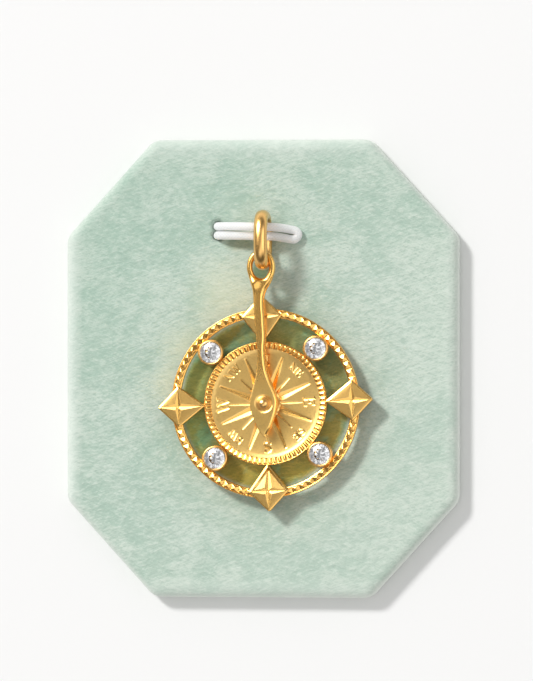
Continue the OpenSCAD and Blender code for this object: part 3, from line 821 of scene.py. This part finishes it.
def needleMesh():
    low, high = place["needleUnder"], place["needleTop"]
    count, turns = needle["sides"], needle["eyeTurns"]
    points, rows = stemSections(low, high)
    faces = sheetFaces(rows, count) + capFaces(rows, count)
    faces += [f[::-1] for f in sheetFaces(turns, count, loopRows=True, first=len(points))]
    points = np.array(points + eyeSections(low, high))
    points[:, 2] -= place["dialBack"]
    piece = addPiece("compassNeedle", onDial(points), faces, needleGold, "card", ["needle"])
    # One skin over the stem and the eye, softened as a casting is
    skin = piece.modifiers.new("skin", "REMESH")
    skin.mode = "VOXEL"
    skin.voxel_size = needle["voxel"] * mm
    soften = piece.modifiers.new("soften", "SMOOTH")
    soften.factor, soften.iterations = needle["soften"]
    bpy.context.view_layer.update()
    solid = bpy.data.meshes.new_from_object(piece.evaluated_get(bpy.context.evaluated_depsgraph_get()))
    piece.modifiers.clear()
    piece.data = solid
    shadeSmooth(solid)
    workNeedle(solid, low, high)
    print("needle faces", len(solid.polygons))


needleMesh()


# Rivet
rivet = {
    # Outline as radius and height, from its foot, from halfway to it, from the dial's back and from
    # the needle's top
    "foot": [(0.0, 0.0), (1.3, 0.0), (1.42, 0.05), (1.5, 0.2), (1.44, 0.3)],
    "neck": [(1.13, 0.0), (1.1, 0.06)],
    "shaft": [(1.1, 0.26), (1.05, 0.3), (0.6, 0.3), (0.6, 0.94), (0.95, 0.94), (1.0, 0.99)],
    "head": [
        (1.0, -0.99), (0.95, -0.94), (0.6, -0.94), (0.6, -0.16), (0.84, -0.16), (0.9, -0.11),
        (0.91, -0.06), (0.87, -0.01), (0.8, -0.01), (0.76, -0.03),
    ],
    # Width of the ball head, its middle above the needle and its height
    "ball": (0.73, 0.04, 0.68),
    "sides": 64,
}


def rivetMesh():
    top = place["needleTop"] - place["dialBack"]
    foot = place["rest"] - place["dialBack"]
    starts = {"foot": foot, "neck": foot / 2, "shaft": 0.0, "head": top}
    outline = [(r, start + z) for part, start in starts.items() for r, z in rivet[part]]
    wide, middle, tall = rivet["ball"]
    rise = np.linspace(0, math.pi / 2, 16)
    outline += [(wide * math.cos(a), top + middle + tall * math.sin(a)) for a in rise]
    outline[-1] = (0.0, outline[-1][1])
    points, faces = turned(outline, rivet["sides"])
    addPiece("rivetBallHead", onDial(points), faces, polishedGold, "card", ["rivet"])


rivetMesh()


# Jump ring
# Its wire's half-width as a share of its thickness, and the power of its oval, fuller than an ellipse
jumpRing = {"steps": 96, "sides": 32, "wide": 0.58, "full": 2.5}


def jumpRingMesh():
    low, high = (np.array(c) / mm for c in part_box("bail_ring"))
    wire = high[0] - low[0]
    middle = (low + high) / 2
    reach = (high[1:] - low[1:] - wire) / 2
    full, steps, sides = jumpRing["full"], jumpRing["steps"], jumpRing["sides"]
    points = []
    for a in turnsRound(steps):
        way = np.array([math.cos(a), math.sin(a)])
        spot = np.sign(way) * np.abs(way) ** (2 / full)
        out = np.sign(spot) * np.abs(spot) ** (full - 1) / reach
        y, z = middle[1:] + spot * reach
        ny, nz = unit(out)
        for b in turnsRound(sides):
            rise = wire / 2 * math.cos(b)
            x = middle[0] + wire * jumpRing["wide"] * math.sin(b)
            points.append((x, y + ny * rise, z + nz * rise))
    addPiece("ovalJumpRing", points, sheetFaces(steps, sides, loopRows=True), polishedGold,
             "card", ["bail_ring"])


jumpRingMesh()
print("needle, rivet and ring ready")


# Stones
cutStone = {
    "radius": 1.27,
    "girdleLow": 1.1014,
    "girdle": 0.05,
    "table": 0.55,
    "starAt": 0.8,
    "crown": 0.3,
    "pavilion": 1.0,
    "lowerAt": 0.28,
    "cool": (0.96, 0.97, 1.0, 1),
    "warm": (1.0, 0.98, 0.97, 1),
    "index": 2.15,
}


def stoneMaterial():
    material, w, shader = newMaterial("clearStone")
    grain = grained(w, 900.0, 4000.0, 0.5)
    w.fill(shader, {
        "Base Color": w.blend(grain["Tone"], cutStone["cool"], cutStone["warm"]),
        "Roughness": w.times(grain["Grain"], 0.02),
        "Transmission Weight": 1.0,
        "IOR": cutStone["index"],
        "Metallic": 0.0,
    })
    return material


clearStone = stoneMaterial()


# Round brilliant with flat facets: table, 8 star, 8 kite, 16 upper, girdle, 16 lower and 8 main
def stoneMesh(name, azimuth, node):
    r, low = cutStone["radius"], cutStone["girdleLow"]
    high = low + cutStone["girdle"]
    top = high + cutStone["crown"]

    def circle(radius, count, z, turn=0.0):
        a = turnsRound(count) + math.radians(turn)
        return np.column_stack([radius * np.cos(a), radius * np.sin(a), np.full(count, z)])

    eighth = math.cos(math.pi / 8)
    tableR, starR, lowerR = (r * cutStone[part] for part in ("table", "starAt", "lowerAt"))
    starZ = top - (starR * eighth - tableR) * cutStone["crown"] / (r - tableR)
    lowerZ = low - cutStone["pavilion"] * (1 - lowerR * eighth / r)
    points = np.concatenate([
        circle(tableR, 8, top, 22.5), circle(starR, 8, starZ), circle(r, 16, high), circle(r, 16, low),
        circle(lowerR, 8, lowerZ), [[0, 0, low - cutStone["pavilion"]]]])
    faces = [list(range(8))]
    for i in range(8):
        n = (i + 1) % 8
        faces += [
            [i, 8 + n, n], [8 + i, 16 + 2 * i, 16 + 2 * i + 1],
            [8 + n, i, 8 + i, 16 + 2 * i + 1], [8 + i, 16 + (2 * i + 15) % 16, 16 + 2 * i],
            [48 + i, 32 + 2 * i + 1, 32 + 2 * i], [48 + i, 32 + 2 * i, 32 + (2 * i + 15) % 16],
            [56, 48 + n, 32 + 2 * i + 1, 48 + i],
        ]
    for i in range(16):
        n = (i + 1) % 16
        faces.append([32 + i, 32 + n, 16 + n, 16 + i])
    points[:, 1] += setting["radius"]
    piece = addPiece(name, onDial(points, azimuth), faces, clearStone, "dial", [node])
    shadeSmooth(piece.data, False)


for letters in inSettings:
    stoneMesh("cutStone" + letters, compass[letters], "stone_" + letters.lower())
print("stones ready")


# Elastic loop
elastic = {
    "diameter": 1.0,
    "sides": 28,
    "steps": 5,
    # Wave of the strands, along the cord and round it
    "strands": (16.0, 50.3),
    "valley": (0.89, 0.9, 0.91, 1),
    "ridge": (0.97, 0.97, 0.97, 1),
    "route": [
        (-5.1, 16.7, 1.5), (-5.1, 16.7, 2.5), (-5.1, 16.7, 3), (-5, 16.7, 3.35), (-4.65, 16.7, 3.7),
        (-4.1, 16.7, 4.05), (-3.2, 16.69, 4.5), (-2.2, 16.66, 5.05), (-1.2, 16.62, 5.48),
        (-0.4, 16.6, 5.7), (0.45, 16.58, 5.78), (1.2, 16.57, 5.58), (1.9, 16.54, 5.1),
        (2.6, 16.47, 4.5), (3.15, 16.38, 4), (3.6, 16.29, 3.68), (4, 16.21, 3.56),
        (4.3, 16.04, 3.53), (4.46, 15.72, 3.53), (4.33, 15.38, 3.53), (4, 15.15, 3.54),
        (3.6, 15.16, 3.6), (3.1, 15.26, 3.8), (2.5, 15.37, 4.15), (1.8, 15.48, 4.55),
        (1.1, 15.5, 4.85), (0.35, 15.5, 4.96), (-0.4, 15.51, 4.93), (-1.2, 15.56, 4.8),
        (-2.2, 15.58, 4.55), (-3.2, 15.6, 4.25), (-4.1, 15.62, 3.95), (-4.65, 15.64, 3.7),
        (-5, 15.64, 3.35), (-5.1, 15.64, 3), (-5.1, 15.64, 2.5), (-5.1, 15.64, 1.5),
    ],
}


def elasticMaterial():
    material, w, shader = newMaterial("braidedElastic")
    grain = grained(w, 1500.0, 9000.0, 0.5)
    spot = w.node("SeparateXYZ", {0: w.node("TexCoord").outputs["UV"]}).outputs
    # Two sets of strands wound opposite ways
    along, across = (w.times(spot[side], elastic["strands"][side]) for side in (0, 1))
    strands = [w.math("SINE", phase) for phase in (w.plus(along, across), w.minus(along, across))]
    weave = w.math("MAXIMUM", *strands)
    w.fill(shader, {
        "Base Color": w.blend(w.ramp(weave, -0.3, 0.8), elastic["valley"], elastic["ridge"]),
        "Roughness": w.plus(0.6, w.times(grain["Grain"], 0.2)),
        "Sheen Weight": 0.3,
        "Subsurface Weight": 0.8,
        "Subsurface Radius": (1, 1, 1),
        "Subsurface Scale": 0.0025,
    })
    w.bump(shader, w.plus(weave, w.times(grain["Grain"], 0.6)), 0.5, 0.00004)
    return material


# Smooth curve through the points of a route
def smoothRoute(points, steps):
    points = np.asarray(points, float)
    made = []
    for i in range(len(points) - 1):
        a, b, c, d = (points[min(max(j, 0), len(points) - 1)] for j in (i - 1, i, i + 1, i + 2))
        for k in range(steps):
            t = k / steps
            made.append(0.5 * (2 * b + (c - a) * t + (2 * a - 5 * b + 4 * c - d) * t * t
                               + (3 * b - a - 3 * c + d) * t**3))
    made.append(points[-1])
    return np.array(made)


def elasticMesh():
    line = smoothRoute(elastic["route"], elastic["steps"])
    ways = unit(np.gradient(line, axis=0))
    run = np.concatenate([[0], np.cumsum(np.linalg.norm(np.diff(line, axis=0), axis=1))])
    out = np.array([0.0, 1.0, 0.0])
    sides = elastic["sides"]
    points, marks = [], []
    for p, way, far in zip(line, ways, run):
        out = unit(out - way * (out @ way))
        up = np.cross(way, out)
        for k in range(sides + 1):
            a = 2 * math.pi * k / sides
            points.append(p + elastic["diameter"] / 2 * (out * math.cos(a) + up * math.sin(a)))
            marks.append((far, k / sides))
    faces = sheetFaces(len(line), sides + 1, loopPoints=False)
    piece = addPiece("elasticLoop", points, faces, elasticMaterial(), "card", ["elastic_loop"])
    layer = piece.data.uv_layers.new(name="braid")
    corner = np.zeros(len(piece.data.loops), int)
    piece.data.loops.foreach_get("vertex_index", corner)
    layer.data.foreach_set("uv", np.array(marks)[corner].ravel())


elasticMesh()
print("elastic ready")


# Velvet pad
pad = {
    "width": 46.4,
    "length": 53.8,
    "cutWidth": 10.35,
    "cutLength": 11.4,
    "corner": 2.0,
    "spacing": 0.35,
    "edge": 1.3,
    # Underside and lower wall, as distance in from the outline and height
    "wall": [(8.0, 0.0), (1.2, 0.0), (0.35, 0.02), (0.1, 0.14), (0.0, 0.35), (0.0, 0.8), (0.0, 1.3)],
    "faceRows": 100,
    # Where the upper face begins, and how far the cloth is from level
    "faceFrom": 2.5,
    "lift": 0.03,
    # How deep the cloth dips round a cord's hole, and where that starts and ends
    "holes": [(-5.1, 16.7), (-5.1, 15.64)],
    "dips": [(0.16, 0.5, 2.4), (1.3, 0.5, 0.85)],
}

velvet = {
    "deep": (0.405, 0.55, 0.455, 1),
    "mid": (0.56, 0.665, 0.575, 1),
    "pale": (0.64, 0.72, 0.63, 1),
    "root": (0.33, 0.46, 0.38, 1),
    "tip": (0.72, 0.79, 0.71, 1),
    # The colours from here to the sheen are painted light and shade: a highlight on the pad's edges,
    # light bounced from the gold beside it, and gold-tinted, green and dark shade under the pendant, with
    # warmer light south of the dial
    "edge": (0.8, 0.84, 0.78, 1),
    "cream": (0.74, 0.77, 0.57, 1),
    "paintedGoldShade": (0.84, 0.67, 0.25, 1),
    "greenShade": (0.62, 0.78, 0.5, 1),
    "warm": (0.7, 0.4, 0.02, 1),
    "green": (0.05, 0.6, 0.3, 1),
    "dark": (0, 0, 0, 1),
    "sheen": (0.95, 1.0, 0.96, 1),
    # Waves of the nap: scale and width
    "waves": (170.0, 0.0014),
    # Layers of nap: scale, turn, detail, roughness and share
    "clouds": [((70, 110, 80), 0.5, 3.0, 0.6, 0.6), ((210, 330, 240), -0.4, 3.0, 0.6, 0.4)],
    "tufts": [((420, 700, 500), -0.25, 3.0, 0.65, 1.0)],
    "fibres": [
        ((900, 4400, 2500), 0.3, 3.0, 0.7, 0.52), ((1100, 4600, 2500), -0.4, 2.0, 0.7, 0.3),
        ((1300, 5000, 2500), 1.1, 2.0, 0.7, 0.18),
    ],
    "shadeMottle": [((260, 380, 300), 0.9, 3.0, 0.6, 1.0)],
    # Where the strokes of a layer start and are full, share and colour
    "strokes": [
        ("tufts", 0.4, 0.7, 0.45, "pale"), ("fibres", 0.51, 0.4, 0.68, "root"),
        ("fibres", 0.51, 0.62, 0.62, "tip"),
    ],
    # Tints: the way they come in (x, y), where they start and are full, share, colour and kind
    "acrossPad": [(1, -1, -0.03, 0.045, 0.4, "pale", "MIX"), (1, -1, 0.0, -0.045, 0.4, "deep", "MIX")],
    # Tints of the painted shade under the dial: greener towards the upper right and the left, darker
    # towards the upper left
    "underDial": [
        (1, 1, 0.0055, 0.0075, 0.4, "greenShade", "MIX"), (-1, 1, 0.005, 0.007, 0.25, "dark", "MIX"),
        (1, 0, -0.0055, -0.007, 0.25, "green", "ADD"),
    ],
    # Painted gold light added to the painted shade south of the dial
    "southOfDial": [(0, 1, -0.0095, -0.0125, 0.4, "warm", "ADD")],
    # Painted highlight on the pad's edges, strongest on the left: the way they come in, where they start
    # and are full, and share
    "borders": [
        (1, 0, -0.0212, -0.0226, 1.0), (0, 1, 0.0243, 0.0262, 0.7),
        (0, 1, -0.0243, -0.0262, 0.45), (1, 0, 0.0212, 0.0226, 0.35),
    ],
    # Painted light bounced from the gold onto the nap beside the pendant: place, radius and share
    "bounceLight": [(-4.6, 8.8, 5.0, 0.42), (-9.2, 2.5, 3.4, 0.35), (-10.8, -1.5, 2.4, 0.35)],
    # Painted gold-tinted shade and bounce light on the cloth: where it ends and how softly, its wide
    # haze, and more of it, as painted shade under the cords and in the eye, as place, half-widths and
    # share
    "paintedGoldShadeRing": (10.2, 0.4),
    "haze": (0.09, 9, 19),
    "cordAndEyeShade": [(-2.6, 14.7, 2.4, 1.1, 0.5), (0.0, 11.4, 1.6, 2.0, 0.95)],
    # It reaches less far towards the lower right, where the light comes in under the hoop
    "underHoop": (0.79, -0.62, 0.6),
    # How much the painted shade under the dial darkens where the light reaches the cloth, and how much
    # the painted shadow darkens the cloth elsewhere
    "litDim": 0.38,
    "shadeDim": 0.14,
    # What casts the shadows painted on the cloth: heights and radii of disc and hoop, heights of the
    # needle with its slant, half-width and ends, and heights of the kites with their reach
    "shades": [((1.3, 1.8, 2.25), 0, 7.3), ((1.3, 1.8, 2.2), 10.05, 11.15)],
    "needleShade": ((2.6, 3.2), 0.04, 0.7, 6, 18),
    "kiteShade": ((1.3, 2.0, 2.6), 2.3),
    "lightSpread": [(-0.07, 0), (0.07, 0), (0, -0.07), (0, 0.07), (0, 0)],
}
lightFrom = (-0.53, 0.58, 0.78)


# Share of the dial's shadow at points of the pad's face, painted into the cloth's colour
def shadedShare(points):
    x, y = fromPivot(points)
    total = np.zeros(len(points))
    lightX, lightY, lightZ = lightFrom
    turns = math.radians(place["turn"]) + turnsRound(4)
    middles = kite["radius"] * np.column_stack([np.cos(turns), np.sin(turns)])
    needleHeights, slant, half, start, end = velvet["needleShade"]
    kiteHeights, kiteReach = velvet["kiteShade"]
    for du, dv in velvet["lightSpread"]:
        def raised(height):
            return x + height * (lightX + du) / lightZ, y + height * (lightY + dv) / lightZ

        blocked = np.zeros(len(points), bool)
        for heights, inner, outer in velvet["shades"]:
            for height in heights:
                r = np.hypot(*raised(height))
                blocked |= (r > inner) & (r < outer)
        for height in needleHeights:
            u, v = raised(height)
            blocked |= (np.abs(u - slant * v) < half) & (v > start) & (v < end)
        for height in kiteHeights:
            u, v = raised(height)
            for middleU, middleV in middles:
                blocked |= np.abs(u - middleU) + np.abs(v - middleV) < kiteReach
        total += blocked / len(velvet["lightSpread"])
    return total


def velvetMaterial():
    material, w, shader = newMaterial("mintVelvet")
    grain = grained(w, 110.0, 6000.0, 0.7)
    where = w.node("TexCoord").outputs["Object"]

    # Places drawn aside, so that the nap lies in waves
    waveScale, waveWidth = velvet["waves"]
    aside = w.vector("SUBTRACT", w.noise(where, waveScale, out="Color"), (0.5, 0.5, 0.5))
    wavy = w.vector("ADD", where, w.vector("MULTIPLY", aside, (waveWidth,) * 3))

    def layered(name):
        total = 0.0
        for scale, turn, detail, rough, share in velvet[name]:
            # Turned first and then scaled, so that the strokes really cross
            size = tuple(1 / s for s in scale)
            inputs = {"Vector": wavy, "Rotation": (0, 0, turn), "Scale": size}
            spot = w.node("Mapping", inputs, vector_type="TEXTURE")
            total = w.plus(total, w.times(w.noise(spot.outputs[0], 1.0, detail, rough), share))
        return total

    def along(x, y):
        return w.vector("DOT_PRODUCT", where, (x, y, 0), "Value")

    def tinted(tone, name):
        for x, y, low, high, share, colour, kind in velvet[name]:
            tone = w.tint(tone, velvet[colour], share, along(x, y), low, high, kind)
        return tone

    naps = {name: layered(name) for name in ("tufts", "fibres")}
    tone = w.blend(w.ramp(layered("clouds"), 0.45, 0.55), velvet["deep"], velvet["mid"])
    for name, low, high, share, colour in velvet["strokes"]:
        tone = w.tint(tone, velvet[colour], share, naps[name], low, high)
    tone = tinted(tone, "acrossPad")
    # Painted highlight along the pad's edges
    border = 0.0
    for x, y, low, high, share in velvet["borders"]:
        border = w.math("MAXIMUM", border, w.times(w.ramp(along(x, y), low, high), share))
    tone = w.blend(w.times(border, 0.5), tone, velvet["edge"])
    # Painted light bounced from the gold beside the pendant
    for x, y, reach, share in velvet["bounceLight"]:
        away = w.vector("DISTANCE", where, (x * mm, y * mm, place["padTop"] * mm), "Value")
        tone = w.tint(tone, velvet["cream"], share, away, reach * mm, reach * 0.2 * mm)
    # Painted sheen: the cloth turns paler where its face is seen edge-on, more so towards the lower right
    grazing = w.ramp(w.node("LayerWeight", {"Blend": 0.5}).outputs["Facing"], 0.12, 0.75)
    x, y, low, high = velvet["acrossPad"][0][:4]
    sheenShare = w.plus(0.35, w.times(w.ramp(along(x, y), low, high), 0.75))
    tone = w.blend(w.times(grazing, sheenShare), tone, velvet["edge"])
    # Painted shade under the dial, tinted by painted gold light bounced from the metal above it, and
    # greener by its edges
    glow, lit = w.attribute("paintedGoldShade"), w.attribute("sunlit")
    goldShadeTone = w.blend(w.ramp(layered("shadeMottle"), 0.5, 0.62), velvet["paintedGoldShade"], velvet["greenShade"])
    goldShadeTone = tinted(goldShadeTone, "underDial")
    goldShadeTone = w.blend(w.times(lit, velvet["litDim"]), goldShadeTone, velvet["dark"])
    goldShadeTone = tinted(goldShadeTone, "southOfDial")
    tone = w.blend(glow, tone, w.blend(1.0, tone, goldShadeTone, "MULTIPLY"))
    # Painted shadow of the pendant, where the cloth is not under the dial
    shaded = w.times(w.minus(1.0, lit), w.minus(1.0, glow))
    w.fill(shader, {
        "Base Color": w.blend(w.times(shaded, velvet["shadeDim"]), tone, velvet["dark"]),
        "Roughness": w.plus(0.85, w.times(grain["Grain"], 0.1)),
        "Sheen Weight": 0.35,
        "Sheen Roughness": 0.4,
        "Sheen Tint": velvet["sheen"],
        "Specular IOR Level": 0.1,
    })
    w.bump(shader, w.plus(naps["fibres"], w.times(naps["tufts"], 1.2)), 0.7, 0.00018)
    return material


# Pad's rows of points, from the middle of its underside over the wall to the middle of its face
def padRows():
    x, y = pad["width"] / 2, pad["length"] / 2
    u, v = x - pad["cutWidth"], y - pad["cutLength"]
    corners = [(x, -v), (x, v), (u, y), (-u, y), (-x, v), (-x, -v), (-u, -y), (u, -y)]
    outline = roundedOutline(corners, pad["corner"], pad["spacing"])
    inward = -outwardWays(outline)
    edge, top = pad["edge"], place["padTop"]
    rounding = np.radians(np.arange(7.5, 91, 7.5))
    steps = pad["wall"] + [(edge * (1 - math.cos(a)), top - edge + edge * math.sin(a)) for a in rounding]
    rows = [np.column_stack([outline + inward * inset, np.full(len(outline), z)]) for inset, z in steps]
    flat = rows[-1][:, :2]
    for s in np.linspace(1, 0.01, pad["faceRows"])[1:]:
        rows.append(np.column_stack([flat * s, np.full(len(outline), top)]))
    return rows


# How much painted gold-tinted shade and bounce light lies on each point of the pad
def paintedGoldShadeShare(points):
    x, y = fromPivot(points)
    r = np.hypot(x, y)
    reach, soft = velvet["paintedGoldShadeRing"]
    eastward, northward, less = velvet["underHoop"]
    slant = (eastward * x + northward * y) / np.maximum(r, 0.1)
    reach = reach - less * np.maximum(slant, 0) ** 3
    glow = 1 - softStep(r - reach, -soft, soft)
    share, start, end = velvet["haze"]
    glow = np.maximum(glow, share * (1 - softStep(r, start, end)))
    # Painted shade under the cords and seen through the eye
    for x, y, wide, tall, share in velvet["cordAndEyeShade"]:
        away = np.hypot((points[:, 0] - x) / wide, (points[:, 1] - y) / tall)
        glow = np.maximum(glow, share * (1 - softStep(away, 0.4, 1.0)))
    return glow


def padMesh():
    rows, top = padRows(), place["padTop"]
    points = np.concatenate(rows)
    # The cloth is drawn down a little round each cord, and is not quite level
    lift = pad["lift"] * (np.sin(points[:, 0] * 0.31 + 0.6) * np.cos(points[:, 1] * 0.23) - 1)
    dip = np.zeros(len(points))
    for holeX, holeY in pad["holes"]:
        r = np.hypot(points[:, 0] - holeX, points[:, 1] - holeY)
        dip = np.maximum(dip, sum(deep * (1 - softStep(r, low, high)) for deep, low, high in pad["dips"]))
    points[:, 2] += (lift - dip) * softStep(points[:, 2], top - 0.3, top - 0.02)
    count = len(rows[0])
    faces = sheetFaces(len(rows), count) + capFaces(len(rows), count)
    piece = addPiece("velvetPad", points, faces, velvetMaterial(), "card", ["display_pad"])
    face = points[:, 2] > pad["faceFrom"]
    # Shares of the painted gold-tinted shade and of the painted sunlight, kept on the pad's face
    addValues(piece.data, "paintedGoldShade", paintedGoldShadeShare(points) * face)
    addValues(piece.data, "sunlit", 1 - shadedShare(points) * face)


padMesh()
print("pad ready")


# Floor and light
studio = {
    "floor": (0.9, 0.895, 0.885, 1),
    "floorPale": (0.91, 0.905, 0.895, 1),
    "floorSize": 3.0,
    "floorDrop": 0.00002,
    "sky": 0.63,
    # What the gold sees of the room: its own tone, a glow round the key light, and soft-edged parts
    # as strength and edges, each along a way and from where it starts to where it is full
    "metalSky": 0.17,
    "metalGlow": 0.1,
    "metalParts": [
        (-0.1, ("key", 0.3, -0.2), ("height", 0.84, 0.66)),  # dark far side
        (1.7, ("window", 0.2, 0.1), ("north", 0.55, 0.3), ("height", 0.2, 0.4)),  # long east window
        (6.6, ("key", 0.9, 0.955)),  # soft box round the key light
        (0.5, ("height", 0.22, 0.05)),  # bright horizon
        (1.15, ("key", 0.66, 0.45), ("height", 0.6, 0.82), ("side", -0.05, 0.15)),  # fill
    ],
    "windowEast": 0.76,
    "sideWay": (0.8, -0.6, 0.0),
    # Dark and bright patches that the stones gather
    "patches": (0.34, 1.25),
    "patchScale": 2.8,
    "key": {"distance": 3.0, "size": 0.5, "power": 55.0},
}


def addFloor():
    size = studio["floorSize"]
    mesh = bpy.data.meshes.new("studioFloor")
    corners = [(x * size, y * size, 0) for x, y in ((-1, -1), (1, -1), (1, 1), (-1, 1))]
    mesh.from_pydata(corners, [], [(0, 1, 2, 3)])
    material, w, shader = newMaterial("palePaper")
    grain = grained(w, 3.0, 900.0, 0.2)
    w.fill(shader, {
        "Base Color": w.blend(grain["Tone"], studio["floor"], studio["floorPale"]),
        "Roughness": 0.9,
        "Specular IOR Level": 0.1,
    })
    mesh.materials.append(material)
    floor = addObject("studioFloor", mesh)
    floor.location.z = -studio["floorDrop"]


def addKeyLight(way):
    light = bpy.data.lights.new("keyLight", "AREA")
    light.shape = "DISK"
    light.size = studio["key"]["size"]
    light.energy = studio["key"]["power"]
    lamp = addObject("keyLight", light)
    lamp.location = way * studio["key"]["distance"]
    lamp.rotation_mode = "QUATERNION"
    lamp.rotation_quaternion = Vector(way).to_track_quat("Z", "Y")


def addSky(towardsKey):
    world = bpy.data.worlds.new("studioWorld")
    world.use_nodes = True
    w = Wires(world.node_tree)
    way = w.node("TexCoord").outputs["Generated"]
    key = w.vector("DOT_PRODUCT", way, towardsKey.tolist(), "Value")
    side = w.vector("DOT_PRODUCT", way, studio["sideWay"], "Value")
    east, north, height = w.node("SeparateXYZ", {0: way}).outputs
    window = w.math("ABSOLUTE", w.minus(east, studio["windowEast"]))
    north = w.math("ABSOLUTE", north)
    ways = {"key": key, "side": side, "height": height, "window": window, "north": north}
    glow = w.math("POWER", w.math("MAXIMUM", key, 0.0), 2.0)
    metalSky = w.plus(studio["metalSky"], w.times(glow, studio["metalGlow"]))
    for strength, *edges in studio["metalParts"]:
        part = w.times(*(w.ramp(ways[name], low, high) for name, low, high in edges), strength)
        metalSky = w.plus(metalSky, part)
    dark, bright = studio["patches"]
    patch = w.ramp(w.noise(way, studio["patchScale"], 1.0), 0.45, 0.55)
    patches = w.plus(dark, w.times(patch, bright - dark))
    rays = w.node("LightPath").outputs
    shade = w.node("Mix", {0: rays["Is Glossy Ray"], 2: studio["sky"], 3: metalSky}).outputs[0]
    shade = w.node("Mix", {0: rays["Is Transmission Ray"], 2: shade, 3: patches}).outputs[0]
    w.fill(world.node_tree.nodes["Background"], {"Color": (1, 1, 1, 1), "Strength": shade})
    scene.world = world


def addStudio():
    addFloor()
    towardsKey = unit(np.array(lightFrom))
    addSky(towardsKey)
    addKeyLight(towardsKey)
    scene.view_settings.view_transform = "Standard"
    scene.view_settings.look = "None"


addStudio()
print("studio ready")
